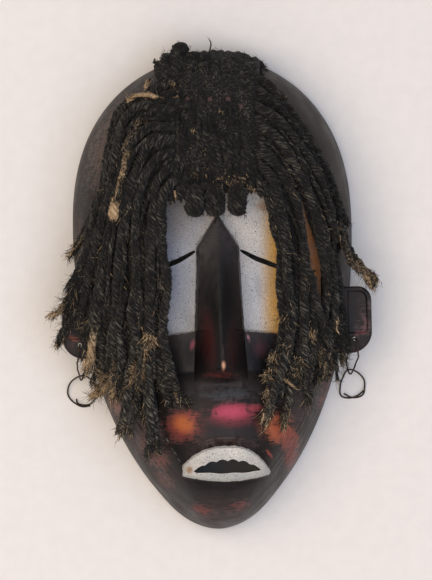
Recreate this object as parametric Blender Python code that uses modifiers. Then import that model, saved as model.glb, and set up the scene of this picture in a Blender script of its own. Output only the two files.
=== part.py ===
"""Carved wooden face mask with plaited hair and wire earrings, lying face up on its back rim.

Metres, +Z up. The face looks along +Z, the crown points along +Y, and the model is centred
over the origin with the flat back rim on the XY plane.
"""
import math

import bmesh
import bpy
from mathutils import Vector

# The carved block: its reach from the widest line of the face, and its walls
FACE_HALF_WIDTH = 0.0945
CROWN_REACH = 0.1175
CHIN_REACH = 0.2025
DOME_DEPTH = 0.088
SIDE_WALL = 0.011
FRONT_WALL = 0.012

# Carving on the face
PANEL_RECESS = 0.0125
NOSE_TIP_DEPTH = 0.108
NOSE_ROOT_DEPTH = 0.089
MUZZLE_SWELL = 0.42
LIP_RELIEF = 0.0045
EYE_SLIT_WIDTH = 0.0032

# Ears, which stand out past the side of the face
EAR_HEIGHT = 0.045
EAR_OVERHANG = 0.0155
EAR_THICKNESS = 0.018
EAR_FRONT = 0.045
EAR_RIM = 0.003
EAR_DISH = 0.0035
LOBE_HOLE_RADIUS = 0.0016
LOBE_HOLE_TO_TIP = 0.0095
LOBE_HOLE_INSET = 0.0117

# Hair
PAD_THICKNESS = 0.006
PAD_HALF_WIDTH = 0.026
LOCK_RADIUS = 0.0028
STUB_RADIUS = 0.0060
STUB_LENGTH = 0.024

# Tacks
TACK_HEAD_RADIUS = 0.0019
TACK_HEAD_HEIGHT = 0.0012
TACK_SHANK_RADIUS = 0.0007
TACK_BITE = 0.005

# Earrings
WIRE_RADIUS = 0.00055
RING_RADIUS = 0.0095
HOOK_DROP = 0.0138
RING_TOP_HEIGHT = 0.0050

# Gaps that keep touching pieces apart
CLEARANCE = 0.0003
HAIR_CLEARANCE = 0.0006

# How finely the carved surface is worked before it is thinned
FACE_COLUMNS = 150
FACE_ROWS = 240
CROWN_ROW_SHARE = 0.33
HOLLOW_COLUMNS = 14
HOLLOW_ROWS = 18
TRIM_DEPTH = 0.004
THINNED_SHARE = 0.0385

# Carving, as shares: across the half width, and down the reach from widest line to chin
PANEL_TOP = 0.12
PANEL_FOOT = -0.331
PANEL_FOOT_SLOPE = -0.047
PANEL_OUTER = 0.76
NOSE_ROOT = 0.046
NOSE_BRIDGE = -0.059
NOSE_BRIDGE_WIDTH = 0.143
NOSE_TIP = -0.455
NOSE_TIP_WIDTH = 0.184
NOSE_SEAT = -0.52
MUZZLE_TOP = -0.469
MUZZLE_FULL = -0.864
LIP_CREST = -0.7175
LIP_CORNER_DROP = -0.0864
LIP_FOOT = -0.837
LIP_HALF_WIDTH = 0.315
LIP_OFFSET = 0.028
MOUTH_CREST = -0.769
MOUTH_CORNER_DROP = -0.031
MOUTH_FOOT = -0.809
MOUTH_HALF_WIDTH = 0.241
SLIT_INNER = 0.160
SLIT_OUTER = 0.700
SLIT_START = -0.0706
SLIT_DROOP = -0.0751
EAR_LEVEL = -0.310
EAR_ROOT = 0.74
CHIN_BLUNTNESS = 0.05

# Shares of the ear's height: its corners, and the dish in its front
EAR_LOW_CORNER = 0.33
EAR_HIGH_CORNER = 0.20
DISH_FOOT = 0.29
DISH_WIDTH = 0.27
DISH_CORNER = 0.08

# Other shares: how far down the slit and mouth cutters start, and how a stub swells along its length
CUTTER_START = 0.3
SCALLOP_DEPTH = 0.0014
STUB_SWELL = (0.55, 0.85, 1.0, 0.9, 0.5)
LOCK_TAPER = (0.85, 0.45)

# Hair routes, as shares: across the half width, and up to the crown or down to the chin.
# Each row is a guide from the middle of the forehead to the tip, from the outermost in.
LEFT_GUIDES = (
    ((-0.33, 0.74), (-0.54, 0.77), (-0.70, 0.62), (-0.83, 0.30), (-0.96, 0.08), (-1.03, -0.07)),
    ((-0.33, 0.66), (-0.58, 0.66), (-0.72, 0.40), (-0.83, 0.06), (-0.94, -0.12), (-1.12, -0.25)),
    ((-0.33, 0.58), (-0.52, 0.55), (-0.67, 0.32), (-0.75, 0.00), (-0.83, -0.20), (-0.88, -0.46)),
    ((-0.33, 0.50), (-0.48, 0.46), (-0.61, 0.22), (-0.67, -0.05), (-0.69, -0.25), (-0.73, -0.52)),
    ((-0.33, 0.38), (-0.44, 0.30), (-0.51, 0.06), (-0.52, -0.12), (-0.52, -0.34), (-0.60, -0.60)),
    ((-0.32, 0.28), (-0.39, 0.18), (-0.395, -0.05), (-0.38, -0.18), (-0.42, -0.34), (-0.29, -0.57)),
)
RIGHT_GUIDES = (
    ((0.33, 0.74), (0.46, 0.68), (0.64, 0.50), (0.85, 0.25), (1.00, -0.03), (1.15, -0.19)),
    ((0.33, 0.64), (0.44, 0.57), (0.60, 0.38), (0.73, 0.14), (0.85, -0.11), (0.93, -0.42)),
    ((0.33, 0.54), (0.43, 0.46), (0.60, 0.25), (0.71, -0.01), (0.79, -0.22), (0.72, -0.50)),
    ((0.33, 0.44), (0.42, 0.37), (0.52, 0.20), (0.60, -0.03), (0.61, -0.24), (0.60, -0.58)),
    ((0.33, 0.34), (0.40, 0.26), (0.46, 0.06), (0.49, -0.15), (0.48, -0.36), (0.30, -0.64)),
    ((0.33, 0.26), (0.37, 0.17), (0.41, 0.00), (0.43, -0.12), (0.44, -0.22), (0.47, -0.31)),
)
# Each lock's place between the guides, and how much of its route it covers
LEFT_LOCKS = (
    (0.0, 1.0), (0.6, 1.0), (1.2, 1.0), (1.8, 1.04), (2.4, 1.0), (2.8, 1.05), (3.15, 0.96),
    (3.5, 1.13), (3.85, 0.9), (4.25, 1.18), (4.6, 0.92), (5.0, 1.0),
)
RIGHT_LOCKS = (
    (0.0, 1.0), (0.55, 0.76), (1.1, 0.97), (1.6, 0.9), (2.05, 1.0), (3.0, 1.0), (3.5, 1.04),
    (4.0, 1.0), (5.0, 1.0),
)
LOCK_SEGMENTS = 12
LAYER_GAP = 0.0009
LOCK_SWAY = 0.0005
OUTER_MARGIN = 0.93
STUB_PLACES = (("left", -0.16), ("middle", -0.02), ("right", 0.14))
TACK_PLACES = ((-0.19, 0.75), (-0.03, 0.745), (0.10, 0.745), (0.19, 0.70))
PAD_FOOT = 0.27
PAD_CROWN = 0.985
PAD_COLUMNS = 5
PAD_ROWS = 11

WOOD_COLOUR = (0.024, 0.017, 0.018)
HAIR_COLOUR = (0.022, 0.020, 0.017)
TACK_COLOUR = (0.30, 0.17, 0.15)
WIRE_COLOUR = (0.05, 0.045, 0.04)


def smooth(low, high, value):
    """Ease from 0 at low to 1 at high."""
    share = min(1.0, max(0.0, (value - low) / (high - low)))
    return share * share * (3.0 - 2.0 * share)


def eased(share):
    """Turn even steps from -1 to 1 into steps that close up toward both ends."""
    return math.sin(0.5 * math.pi * share * (0.62 + 0.38 * share * share))


def crown_or_chin(y, inset=0.0):
    """The reach on this side of the widest line."""
    return (CROWN_REACH if y >= 0.0 else CHIN_REACH) - inset


def half_width(along, inset=0.0):
    """Half width of the outline at a share of the way to the crown, or down to the chin."""
    if along >= 0.0:
        return (FACE_HALF_WIDTH - inset) * math.sqrt(max(0.0, 1.0 - along ** 2.4))
    bluntness = 0.6 - CHIN_BLUNTNESS * smooth(0.85, 1.0, -along)
    return (FACE_HALF_WIDTH - inset) * max(0.0, 1.0 - along ** 2) ** bluntness


def vault(across, along, depth, swell):
    """Height of the plain vault, where across is a share of the local half width."""
    bend = 2.6 if along >= 0.0 else 3.0
    lengthwise = max(0.0, 1.0 - abs(along) ** bend) ** 0.4545
    muzzle = min(1.0, max(0.0, (MUZZLE_TOP - along) / (MUZZLE_TOP - MUZZLE_FULL))) ** 0.8
    muzzle *= 1.0 - 0.5 * smooth(0.5, 1.0, abs(across))
    crosswise = math.sqrt(max(0.0, 1.0 - abs(across) ** 2.4))
    return depth * lengthwise * crosswise * (1.0 + swell * muzzle)


def panel_sink(side, drop):
    """Share of the eye panel's recess at a place on the face, with the hollow of the cheek."""
    if drop > NOSE_BRIDGE:
        inner = NOSE_BRIDGE_WIDTH * (NOSE_ROOT - drop) / (NOSE_ROOT - NOSE_BRIDGE)
    else:
        inner = nose_width(drop)
    foot = PANEL_FOOT + PANEL_FOOT_SLOPE * side
    panel = smooth(inner - 0.006, inner + 0.010, side)
    panel *= smooth(PANEL_OUTER + 0.04, PANEL_OUTER - 0.04, side)
    panel *= smooth(PANEL_TOP + 0.008, PANEL_TOP - 0.004, drop) * smooth(foot - 0.003, foot + 0.003, drop)
    panel *= 1.0 - 0.82 * smooth(0.35, 0.78, side)
    cheek = 0.5 * smooth(MUZZLE_TOP - 0.05, foot, drop) * smooth(0.70, 0.35, side) * (drop <= foot + 0.003)
    return max(panel, cheek)


def nose_width(drop):
    """Half width of the nose where it meets the face, as a share of the face's half width."""
    if drop > NOSE_BRIDGE:
        return NOSE_BRIDGE_WIDTH * smooth(NOSE_ROOT + 0.01, NOSE_BRIDGE, drop)
    share = min(1.0, (NOSE_BRIDGE - drop) / (NOSE_BRIDGE - NOSE_TIP))
    return NOSE_BRIDGE_WIDTH + (NOSE_TIP_WIDTH - NOSE_BRIDGE_WIDTH) * share ** 1.3


def nose_ridge(side, drop):
    """Height of the nose's ridge, with its underside sloping back to the lip."""
    tip = NOSE_TIP - 0.025 * (side / NOSE_TIP_WIDTH) ** 1.2
    share = smooth(NOSE_ROOT + 0.02, tip - 0.12, drop)
    ridge = NOSE_ROOT_DEPTH + (NOSE_TIP_DEPTH - NOSE_ROOT_DEPTH) * share
    if drop < tip:
        ridge -= (NOSE_TIP_DEPTH - 0.93 * NOSE_ROOT_DEPTH) * (tip - drop) / (tip - NOSE_SEAT)
    return ridge


def lip_rise(side, drop):
    """Share of the lips' relief at a place on the face."""
    if side >= LIP_HALF_WIDTH:
        return 0.0
    corner = side / LIP_HALF_WIDTH
    crest = LIP_CREST + LIP_CORNER_DROP * corner ** 2.6
    foot = LIP_FOOT + 0.02 * corner ** 2
    return smooth(0.0, 0.007, crest - drop) * smooth(0.0, 0.007, drop - foot)


def carved_height(across, along):
    """Height of the carved front, where across is a share of the local half width."""
    side = abs(across) * half_width(along) / FACE_HALF_WIDTH
    drop = along if along < 0.0 else along * CROWN_REACH / CHIN_REACH
    height = vault(across, along, DOME_DEPTH, MUZZLE_SWELL)
    height -= PANEL_RECESS * panel_sink(side, drop)
    width = nose_width(drop)
    if NOSE_SEAT - 0.03 < drop < NOSE_ROOT + 0.02 and side < width:
        rounded = math.hypot(side, 0.012) - 0.012
        ridge = nose_ridge(side, drop)
        height = max(height, ridge - (ridge - height) * (rounded / width) ** 1.15)
    lip_side = abs(math.copysign(side, across) - LIP_OFFSET)
    return height + LIP_RELIEF * lip_rise(lip_side, drop)


def hollow_height(across, along):
    """Height of the hollow behind the face, which follows the eye panels at a wall's distance."""
    side = abs(across) * half_width(along, SIDE_WALL) / FACE_HALF_WIDTH
    drop = along if along < 0.0 else along * CROWN_REACH / CHIN_REACH
    height = vault(across, along, DOME_DEPTH - FRONT_WALL, 0.7 * MUZZLE_SWELL)
    sink = smooth(0.97, 0.80, side) * smooth(PANEL_TOP + 0.14, PANEL_TOP + 0.04, drop)
    sink *= smooth(MUZZLE_TOP - 0.06, PANEL_FOOT - 0.03, drop)
    return height - PANEL_RECESS * sink * (1.0 - 0.6 * smooth(0.45, 0.78, side))


def vault_height(x, y):
    """Height of the plain vault over a point of the plan."""
    along = max(-1.0, min(1.0, y / crown_or_chin(y)))
    width = half_width(along)
    if width <= abs(x):
        return 0.0
    return vault(x / width, along, DOME_DEPTH, MUZZLE_SWELL)


def keep_on_face(x, y):
    """Draw a point of the plan toward the middle until it lies on the face."""
    for _ in range(200):
        along = y / crown_or_chin(y)
        if abs(along) < OUTER_MARGIN and abs(x) < OUTER_MARGIN * half_width(along):
            break
        x, y = 0.99 * x, 0.99 * y
    return x, y


def laid_point(x, y, lift):
    """Where something lies at a height above the face and shows at x, y from the front."""
    foot_x, foot_y = keep_on_face(x, y)
    step = 0.0002
    for _ in range(16):
        slope_x = vault_height(foot_x + step, foot_y) - vault_height(foot_x - step, foot_y)
        slope_y = vault_height(foot_x, foot_y + step) - vault_height(foot_x, foot_y - step)
        normal = Vector((-slope_x, -slope_y, 2.0 * step)).normalized()
        point = Vector((foot_x, foot_y, vault_height(foot_x, foot_y))) + normal * lift
        foot_x, foot_y = keep_on_face(foot_x + 0.6 * (x - point.x), foot_y + 0.6 * (y - point.y))
    return Vector((x, y, point.z)), normal


def curve_through(points, share):
    """A point on the smooth curve through the given points, from 0 at the first to 1 at the last."""
    place = max(0.0, min(1.0, share)) * (len(points) - 1)
    index = min(int(place), len(points) - 2)
    t = place - index
    before = points[max(0, index - 1)]
    start, end = points[index], points[index + 1]
    after = points[min(len(points) - 1, index + 2)]
    result = []
    for a, b, c, d in zip(before, start, end, after):
        bend = (2.0 * a - 5.0 * b + 4.0 * c - d) * t * t + (3.0 * b - a - 3.0 * c + d) * t ** 3
        result.append(0.5 * (2.0 * b + (c - a) * t + bend))
    return result


def plan_point(across, along):
    """Turn shares of the face into a point of the plan."""
    return across * FACE_HALF_WIDTH, along * crown_or_chin(along)


def clear_scene():
    """Remove every object of the file that is open."""
    for item in list(bpy.data.objects):
        bpy.data.objects.remove(item, do_unlink=True)


def new_collection(name):
    """Make a collection in the scene."""
    group = bpy.data.collections.new(name)
    bpy.context.scene.collection.children.link(group)
    return group


def finish_material(name, colour, roughness, metallic=0.0):
    """Make a plain material for one kind of stuff."""
    material = bpy.data.materials.new(name)
    material.use_nodes = True
    shader = material.node_tree.nodes["Principled BSDF"]
    shader.inputs["Base Color"].default_value = (*colour, 1.0)
    shader.inputs["Roughness"].default_value = roughness
    shader.inputs["Metallic"].default_value = metallic
    return material


class Maker:
    """Holds the collections and the parent of the pieces."""

    def __init__(self):
        self.parts = new_collection("tribal_mask")
        self.cutters = new_collection("cutters")
        self.root = bpy.data.objects.new("mask_root", None)
        self.parts.objects.link(self.root)

    def piece(self, name, data, colour, roughness, metallic=0.0):
        """Put one piece in the model, with its own material."""
        item = bpy.data.objects.new(name, data)
        item.data.materials.append(finish_material(name + "_finish", colour, roughness, metallic))
        item.parent = self.root
        self.parts.objects.link(item)
        return item

    def cutter(self, name, mesh):
        """Put a shape that only cuts or joins among the cutters."""
        item = bpy.data.objects.new(name, mesh)
        item.hide_render = True
        item.display_type = "WIRE"
        item.parent = self.root
        self.cutters.objects.link(item)
        return item


def mesh_from(bm, name):
    """Turn a closed bmesh into a mesh with its faces pointing out."""
    bmesh.ops.recalc_face_normals(bm, faces=bm.faces[:])
    mesh = bpy.data.meshes.new(name)
    bm.to_mesh(mesh)
    bm.free()
    return mesh


def mesh_from_curve(data, name, height=0.0):
    """Turn a curve into a welded mesh."""
    holder = bpy.data.objects.new(name, data)
    bpy.context.scene.collection.objects.link(holder)
    holder.location.z = height
    bpy.context.view_layer.update()
    evaluated = holder.evaluated_get(bpy.context.evaluated_depsgraph_get())
    mesh = bpy.data.meshes.new_from_object(evaluated)
    mesh.transform(holder.matrix_world)
    bpy.data.objects.remove(holder, do_unlink=True)
    bm = bmesh.new()
    bm.from_mesh(mesh)
    bmesh.ops.remove_doubles(bm, verts=bm.verts[:], dist=1e-6)
    bpy.data.meshes.remove(mesh)
    return mesh_from(bm, name)


def prism(name, outline, low, high):
    """A flat outline given thickness from low to high."""
    data = bpy.data.curves.new(name, "CURVE")
    data.dimensions = "2D"
    data.fill_mode = "BOTH"
    data.extrude = 0.5 * (high - low)
    spline = data.splines.new("POLY")
    spline.points.add(len(outline) - 1)
    for point, (x, y) in zip(spline.points, outline):
        point.co = (x, y, 0.0, 1.0)
    spline.use_cyclic_u = True
    return mesh_from_curve(data, name, 0.5 * (low + high))


def wire(name, points, radius, sides_step, closed=False, radii=None):
    """A round wire or lock along a route, as a curve with filled caps."""
    data = bpy.data.curves.new(name, "CURVE")
    data.dimensions = "3D"
    data.bevel_depth = radius
    data.bevel_resolution = sides_step
    data.use_fill_caps = not closed
    spline = data.splines.new("POLY")
    spline.points.add(len(points) - 1)
    for index, place in enumerate(points):
        spline.points[index].co = (*place, 1.0)
        spline.points[index].radius = radii[index] if radii else 1.0
    spline.use_cyclic_u = closed
    return data


def vault_mesh(name, columns, rows, inset, height, skirt):
    """A closed solid under a height over the face's outline, with a skirt below the rim."""
    bm = bmesh.new()
    bmesh.ops.create_grid(bm, x_segments=columns, y_segments=rows, size=1.0)
    lower = 1.0 - CROWN_ROW_SHARE
    for vert in bm.verts:
        step = 0.5 * (vert.co.y + 1.0)
        if step >= lower:
            along = eased((step - lower) / CROWN_ROW_SHARE)
        else:
            along = -eased((lower - step) / lower)
        across = eased(vert.co.x)
        place_y = along * crown_or_chin(along, inset)
        vert.co = (across * half_width(along, inset), place_y, height(across, along))
    bmesh.ops.remove_doubles(bm, verts=bm.verts[:], dist=1e-6)
    border = [edge for edge in bm.edges if edge.is_boundary]
    skirt_parts = bmesh.ops.extrude_edge_only(bm, edges=border)["geom"]
    skirt_verts = [item for item in skirt_parts if isinstance(item, bmesh.types.BMVert)]
    bmesh.ops.translate(bm, verts=skirt_verts, vec=(0.0, 0.0, -skirt))
    bmesh.ops.edgeloop_fill(bm, edges=[edge for edge in bm.edges if edge.is_boundary])
    return mesh_from(bm, name)


def rounded_ear(inner, outer, low, high, low_radius, high_radius):
    """Outline of an ear: square at the head and rounded at its two outer corners."""
    points = [(inner, low)]
    for step in range(6):
        angle = -0.5 * math.pi + 0.1 * math.pi * step
        points.append((outer - low_radius + low_radius * math.cos(angle),
                       low + low_radius + low_radius * math.sin(angle)))
    for step in range(5):
        angle = 0.125 * math.pi * step
        points.append((outer - high_radius + high_radius * math.cos(angle),
                       high - high_radius + high_radius * math.sin(angle)))
    points.append((inner, high))
    return points


def mirrored(points, side):
    """The outline itself on the right, or its reflection on the left."""
    return [(side * x, y) for x, y in points]


def slit_outline():
    """Outline of the right eye slit, thickest near its middle and drooping outward."""
    upper, lower = [], []
    for step in range(9):
        share = step / 8.0
        across = SLIT_INNER + (SLIT_OUTER - SLIT_INNER) * share
        drop = SLIT_START + SLIT_DROOP * (1.0 - (1.0 - share) ** 2)
        half = 0.5 * EYE_SLIT_WIDTH * (0.30 + 0.70 * math.sin(math.pi * share ** 0.75))
        upper.append((across * FACE_HALF_WIDTH, drop * CHIN_REACH + half))
        lower.append((across * FACE_HALF_WIDTH, drop * CHIN_REACH - half))
    return lower + upper[::-1]


def mouth_outline():
    """Outline of the mouth, with its scalloped upper edge."""
    top = []
    for step in range(25):
        across = MOUTH_HALF_WIDTH * (1.0 - step / 12.0)
        corner = abs(across) / MOUTH_HALF_WIDTH
        scallop = SCALLOP_DEPTH / CHIN_REACH * abs(math.sin(3.0 * math.pi * (across / MOUTH_HALF_WIDTH + 1.0)))
        drop = MOUTH_CREST + MOUTH_CORNER_DROP * corner ** 2.2 + scallop * (1.0 - corner ** 4)
        top.append(((across + LIP_OFFSET) * FACE_HALF_WIDTH, drop * CHIN_REACH))
    bottom = []
    for step in range(1, 8):
        across = MOUTH_HALF_WIDTH * (step / 4.0 - 1.0)
        drop = MOUTH_FOOT + 0.006 * (across / MOUTH_HALF_WIDTH) ** 2
        bottom.append(((across + LIP_OFFSET) * FACE_HALF_WIDTH, drop * CHIN_REACH))
    return bottom + top


def ear_sizes():
    """Where the ear's outer edge, middle and lobe hole lie on the right."""
    outer = half_width(EAR_LEVEL) + EAR_OVERHANG
    middle = EAR_LEVEL * CHIN_REACH
    hole = (outer - LOBE_HOLE_INSET, middle - 0.5 * EAR_HEIGHT + LOBE_HOLE_TO_TIP)
    return outer, middle, hole


def cut(item, tool, operation="DIFFERENCE"):
    """Cut or join a tool with a Boolean modifier."""
    modifier = item.modifiers.new(operation.lower() + "_" + tool.name, "BOOLEAN")
    modifier.operation = operation
    modifier.solver = "EXACT"
    modifier.object = tool


def build_body(maker, nail_holes):
    """The mask itself, carved from one block."""
    solid = vault_mesh("mask_body", FACE_COLUMNS, FACE_ROWS, 0.0, carved_height, TRIM_DEPTH)
    body = maker.piece("mask_body", solid, WOOD_COLOUR, 0.38)
    thinning = body.modifiers.new("thinning", "DECIMATE")
    thinning.ratio = THINNED_SHARE
    outer, middle, hole = ear_sizes()
    low, high = middle - 0.5 * EAR_HEIGHT, middle + 0.5 * EAR_HEIGHT
    shell = rounded_ear(EAR_ROOT * FACE_HALF_WIDTH, outer, low, high,
                        EAR_LOW_CORNER * EAR_HEIGHT, EAR_HIGH_CORNER * EAR_HEIGHT)
    dish = rounded_ear(outer - DISH_WIDTH * EAR_HEIGHT, outer - EAR_RIM,
                       low + DISH_FOOT * EAR_HEIGHT, high - EAR_RIM,
                       DISH_CORNER * EAR_HEIGHT, EAR_HIGH_CORNER * EAR_HEIGHT - EAR_RIM)
    for label, side in (("left", -1.0), ("right", 1.0)):
        blank = prism("ear_blank_" + label, mirrored(shell, side), EAR_FRONT - EAR_THICKNESS, EAR_FRONT)
        cut(body, maker.cutter("ear_blank_" + label, blank), "UNION")
        hollow = prism("ear_dish_" + label, mirrored(dish, side), EAR_FRONT - EAR_DISH, EAR_FRONT + EAR_DISH)
        cut(body, maker.cutter("ear_dish_" + label, hollow))
        slit = prism("eye_slit_" + label, mirrored(slit_outline(), side),
                     CUTTER_START * DOME_DEPTH, NOSE_TIP_DEPTH)
        cut(body, maker.cutter("eye_slit_" + label, slit))
        ring = [(hole[0] + LOBE_HOLE_RADIUS * math.cos(0.2 * math.pi * step),
                 hole[1] + LOBE_HOLE_RADIUS * math.sin(0.2 * math.pi * step)) for step in range(10)]
        bore = prism("lobe_hole_" + label, mirrored(ring, side), EAR_FRONT - 2.0 * EAR_THICKNESS,
                     EAR_FRONT + EAR_THICKNESS)
        cut(body, maker.cutter("lobe_hole_" + label, bore))
    hollow = vault_mesh("back_hollow", HOLLOW_COLUMNS, HOLLOW_ROWS, SIDE_WALL, hollow_height, 3.0 * TRIM_DEPTH)
    cut(body, maker.cutter("back_hollow", hollow))
    mouth = prism("mouth_opening", mouth_outline(),
                  CUTTER_START * DOME_DEPTH, (1.0 + MUZZLE_SWELL) * DOME_DEPTH)
    cut(body, maker.cutter("mouth_opening", mouth))
    cut(body, nail_holes)
    reach = 2.0 * CHIN_REACH
    floor = prism("back_trim", [(-reach, -reach), (reach, -reach), (reach, reach), (-reach, reach)],
                  -4.0 * TRIM_DEPTH, 0.0)
    cut(body, maker.cutter("back_trim", floor))


def tack_frames():
    """Where each tack meets the outside of the hair pad, and the way that it points."""
    for across, along in TACK_PLACES:
        x, y = plan_point(across, along)
        yield laid_point(x, y, HAIR_CLEARANCE + PAD_THICKNESS + CLEARANCE)


def build_nail_holes(maker):
    """The holes that the tacks leave in the hair and in the wood."""
    bm = bmesh.new()
    depth = PAD_THICKNESS + HAIR_CLEARANCE + TACK_BITE + 3.0 * CLEARANCE
    for place, normal in tack_frames():
        made = bmesh.ops.create_cone(bm, cap_ends=True, segments=8, depth=depth + TACK_HEAD_HEIGHT,
                                     radius1=TACK_SHANK_RADIUS + CLEARANCE,
                                     radius2=TACK_SHANK_RADIUS + CLEARANCE)
        turn = Vector((0.0, 0.0, 1.0)).rotation_difference(normal).to_matrix()
        bmesh.ops.translate(bm, verts=made["verts"], vec=(0.0, 0.0, 0.5 * (TACK_HEAD_HEIGHT - depth)))
        bmesh.ops.rotate(bm, verts=made["verts"], cent=(0.0, 0.0, 0.0), matrix=turn)
        bmesh.ops.translate(bm, verts=made["verts"], vec=place)
    return maker.cutter("nail_holes", mesh_from(bm, "nail_holes"))


def build_tacks(maker):
    """Four small nails with domed heads, turned from a profile."""
    length = PAD_THICKNESS + HAIR_CLEARANCE + TACK_BITE
    profile = (
        (0.0, TACK_HEAD_HEIGHT), (0.62 * TACK_HEAD_RADIUS, 0.78 * TACK_HEAD_HEIGHT),
        (TACK_HEAD_RADIUS, 0.2 * TACK_HEAD_HEIGHT), (TACK_HEAD_RADIUS, 0.0), (TACK_SHANK_RADIUS, 0.0),
        (TACK_SHANK_RADIUS, 1.5 * TACK_SHANK_RADIUS - length), (0.0, -length),
    )
    for number, (place, normal) in enumerate(tack_frames(), start=1):
        mesh = bpy.data.meshes.new("tack_" + str(number))
        edges = [(index, index + 1) for index in range(len(profile) - 1)]
        mesh.from_pydata([(x, 0.0, z) for x, z in profile], edges, [])
        tack = maker.piece("tack_" + str(number), mesh, TACK_COLOUR, 0.5, 0.6)
        tack.location = place
        tack.rotation_mode = "QUATERNION"
        tack.rotation_quaternion = Vector((0.0, 0.0, 1.0)).rotation_difference(normal)
        turning = tack.modifiers.new("turning", "SCREW")
        turning.steps = 6
        turning.render_steps = 6
        turning.use_merge_vertices = True
        turning.merge_threshold = 0.00001


def build_pad(maker, nail_holes):
    """The matted sheet of hair over the crown and the middle of the forehead."""
    bm = bmesh.new()
    bmesh.ops.create_grid(bm, x_segments=PAD_COLUMNS, y_segments=PAD_ROWS, size=1.0)
    start = math.asin(PAD_FOOT)
    end = math.asin(min(1.0, PAD_CROWN))
    for vert in bm.verts:
        share = 0.5 * (vert.co.y + 1.0)
        width = PAD_HALF_WIDTH * (1.0 + 0.35 * smooth(0.62, 0.9, share))
        x = vert.co.x * width
        top = CROWN_REACH * (1.0 - (x / FACE_HALF_WIDTH) ** 2) ** (1.0 / 2.4)
        y = top * math.sin(start + (end - start) * share)
        step = 0.0002
        slope_x = vault_height(x + step, y) - vault_height(x - step, y)
        slope_y = vault_height(x, y + step) - vault_height(x, y - step)
        normal = Vector((-slope_x, -slope_y, 2.0 * step)).normalized()
        vert.co = Vector((x, y, vault_height(x, y))) + normal * HAIR_CLEARANCE
    bmesh.ops.recalc_face_normals(bm, faces=bm.faces[:])
    mesh = bpy.data.meshes.new("hair_pad")
    bm.to_mesh(mesh)
    bm.free()
    pad = maker.piece("hair_pad", mesh, HAIR_COLOUR, 0.9)
    shell = pad.modifiers.new("thickness", "SOLIDIFY")
    shell.thickness = PAD_THICKNESS
    shell.offset = 1.0
    shell.use_even_offset = True
    cut(pad, nail_holes)


def over_ear(x, y, radius):
    """How far a lock at this place is lifted onto the ear, from 0 clear of it to 1 on it."""
    _, middle, _ = ear_sizes()
    margin = 2.5 * radius
    reach = 0.5 * EAR_HEIGHT + margin
    beside = smooth(reach + 2.0 * margin, reach, abs(y - middle))
    inner = EAR_ROOT * FACE_HALF_WIDTH
    return beside * smooth(inner - margin, inner, abs(x))


def lock_route(guides, place, cover, layer, phase):
    """The middle line of one lock, laid over the face between its two nearest guides."""
    index = min(int(place), len(guides) - 2)
    blend = place - index
    knots = [[a + (b - a) * blend for a, b in zip(first, second)]
             for first, second in zip(guides[index], guides[index + 1])]
    knots = [plan_point(*knot) for knot in knots]
    lift = HAIR_CLEARANCE + LOCK_RADIUS + layer * (2.0 * LOCK_RADIUS + LAYER_GAP)
    route = []
    for step in range(LOCK_SEGMENTS + 1):
        share = cover * step / LOCK_SEGMENTS
        x, y = curve_through(knots, share)
        if share > 1.0:
            last, before = curve_through(knots, 1.0), curve_through(knots, 0.97)
            x = last[0] + (last[0] - before[0]) * (share - 1.0) / 0.03
            y = last[1] + (last[1] - before[1]) * (share - 1.0) / 0.03
        x += LOCK_SWAY * math.sin(9.0 * share + phase)
        point, _ = laid_point(x, y, lift)
        on_ear = EAR_FRONT + lift
        if point.z < on_ear:
            point.z += (on_ear - point.z) * over_ear(x, y, LOCK_RADIUS)
        route.append(point)
    return route


def build_locks(maker):
    """The plaited locks at both sides, in two layers."""
    radii = [1.0] * (LOCK_SEGMENTS + 1 - len(LOCK_TAPER)) + list(LOCK_TAPER)
    for label, guides, locks in (("left", LEFT_GUIDES, LEFT_LOCKS), ("right", RIGHT_GUIDES, RIGHT_LOCKS)):
        for number, (place, cover) in enumerate(locks, start=1):
            name = "hair_" + label + "_" + str(number).zfill(2)
            route = lock_route(guides, place, cover, (number + 1) % 2, 1.7 * number)
            maker.piece(name, wire(name, route, LOCK_RADIUS, 1, radii=radii), HAIR_COLOUR, 0.9)


def build_stubs(maker):
    """The three short thick locks that end over the brow."""
    top = PAD_FOOT * CROWN_REACH - STUB_RADIUS - HAIR_CLEARANCE
    for label, across in STUB_PLACES:
        route = []
        for index in range(len(STUB_SWELL)):
            y = top - (STUB_LENGTH - 1.2 * STUB_RADIUS) * index / (len(STUB_SWELL) - 1)
            point, _ = laid_point(across * FACE_HALF_WIDTH, y, HAIR_CLEARANCE + STUB_RADIUS)
            route.append(point)
        name = "forehead_lock_" + label
        maker.piece(name, wire(name, route, STUB_RADIUS, 1, radii=STUB_SWELL), HAIR_COLOUR, 0.9)


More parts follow.
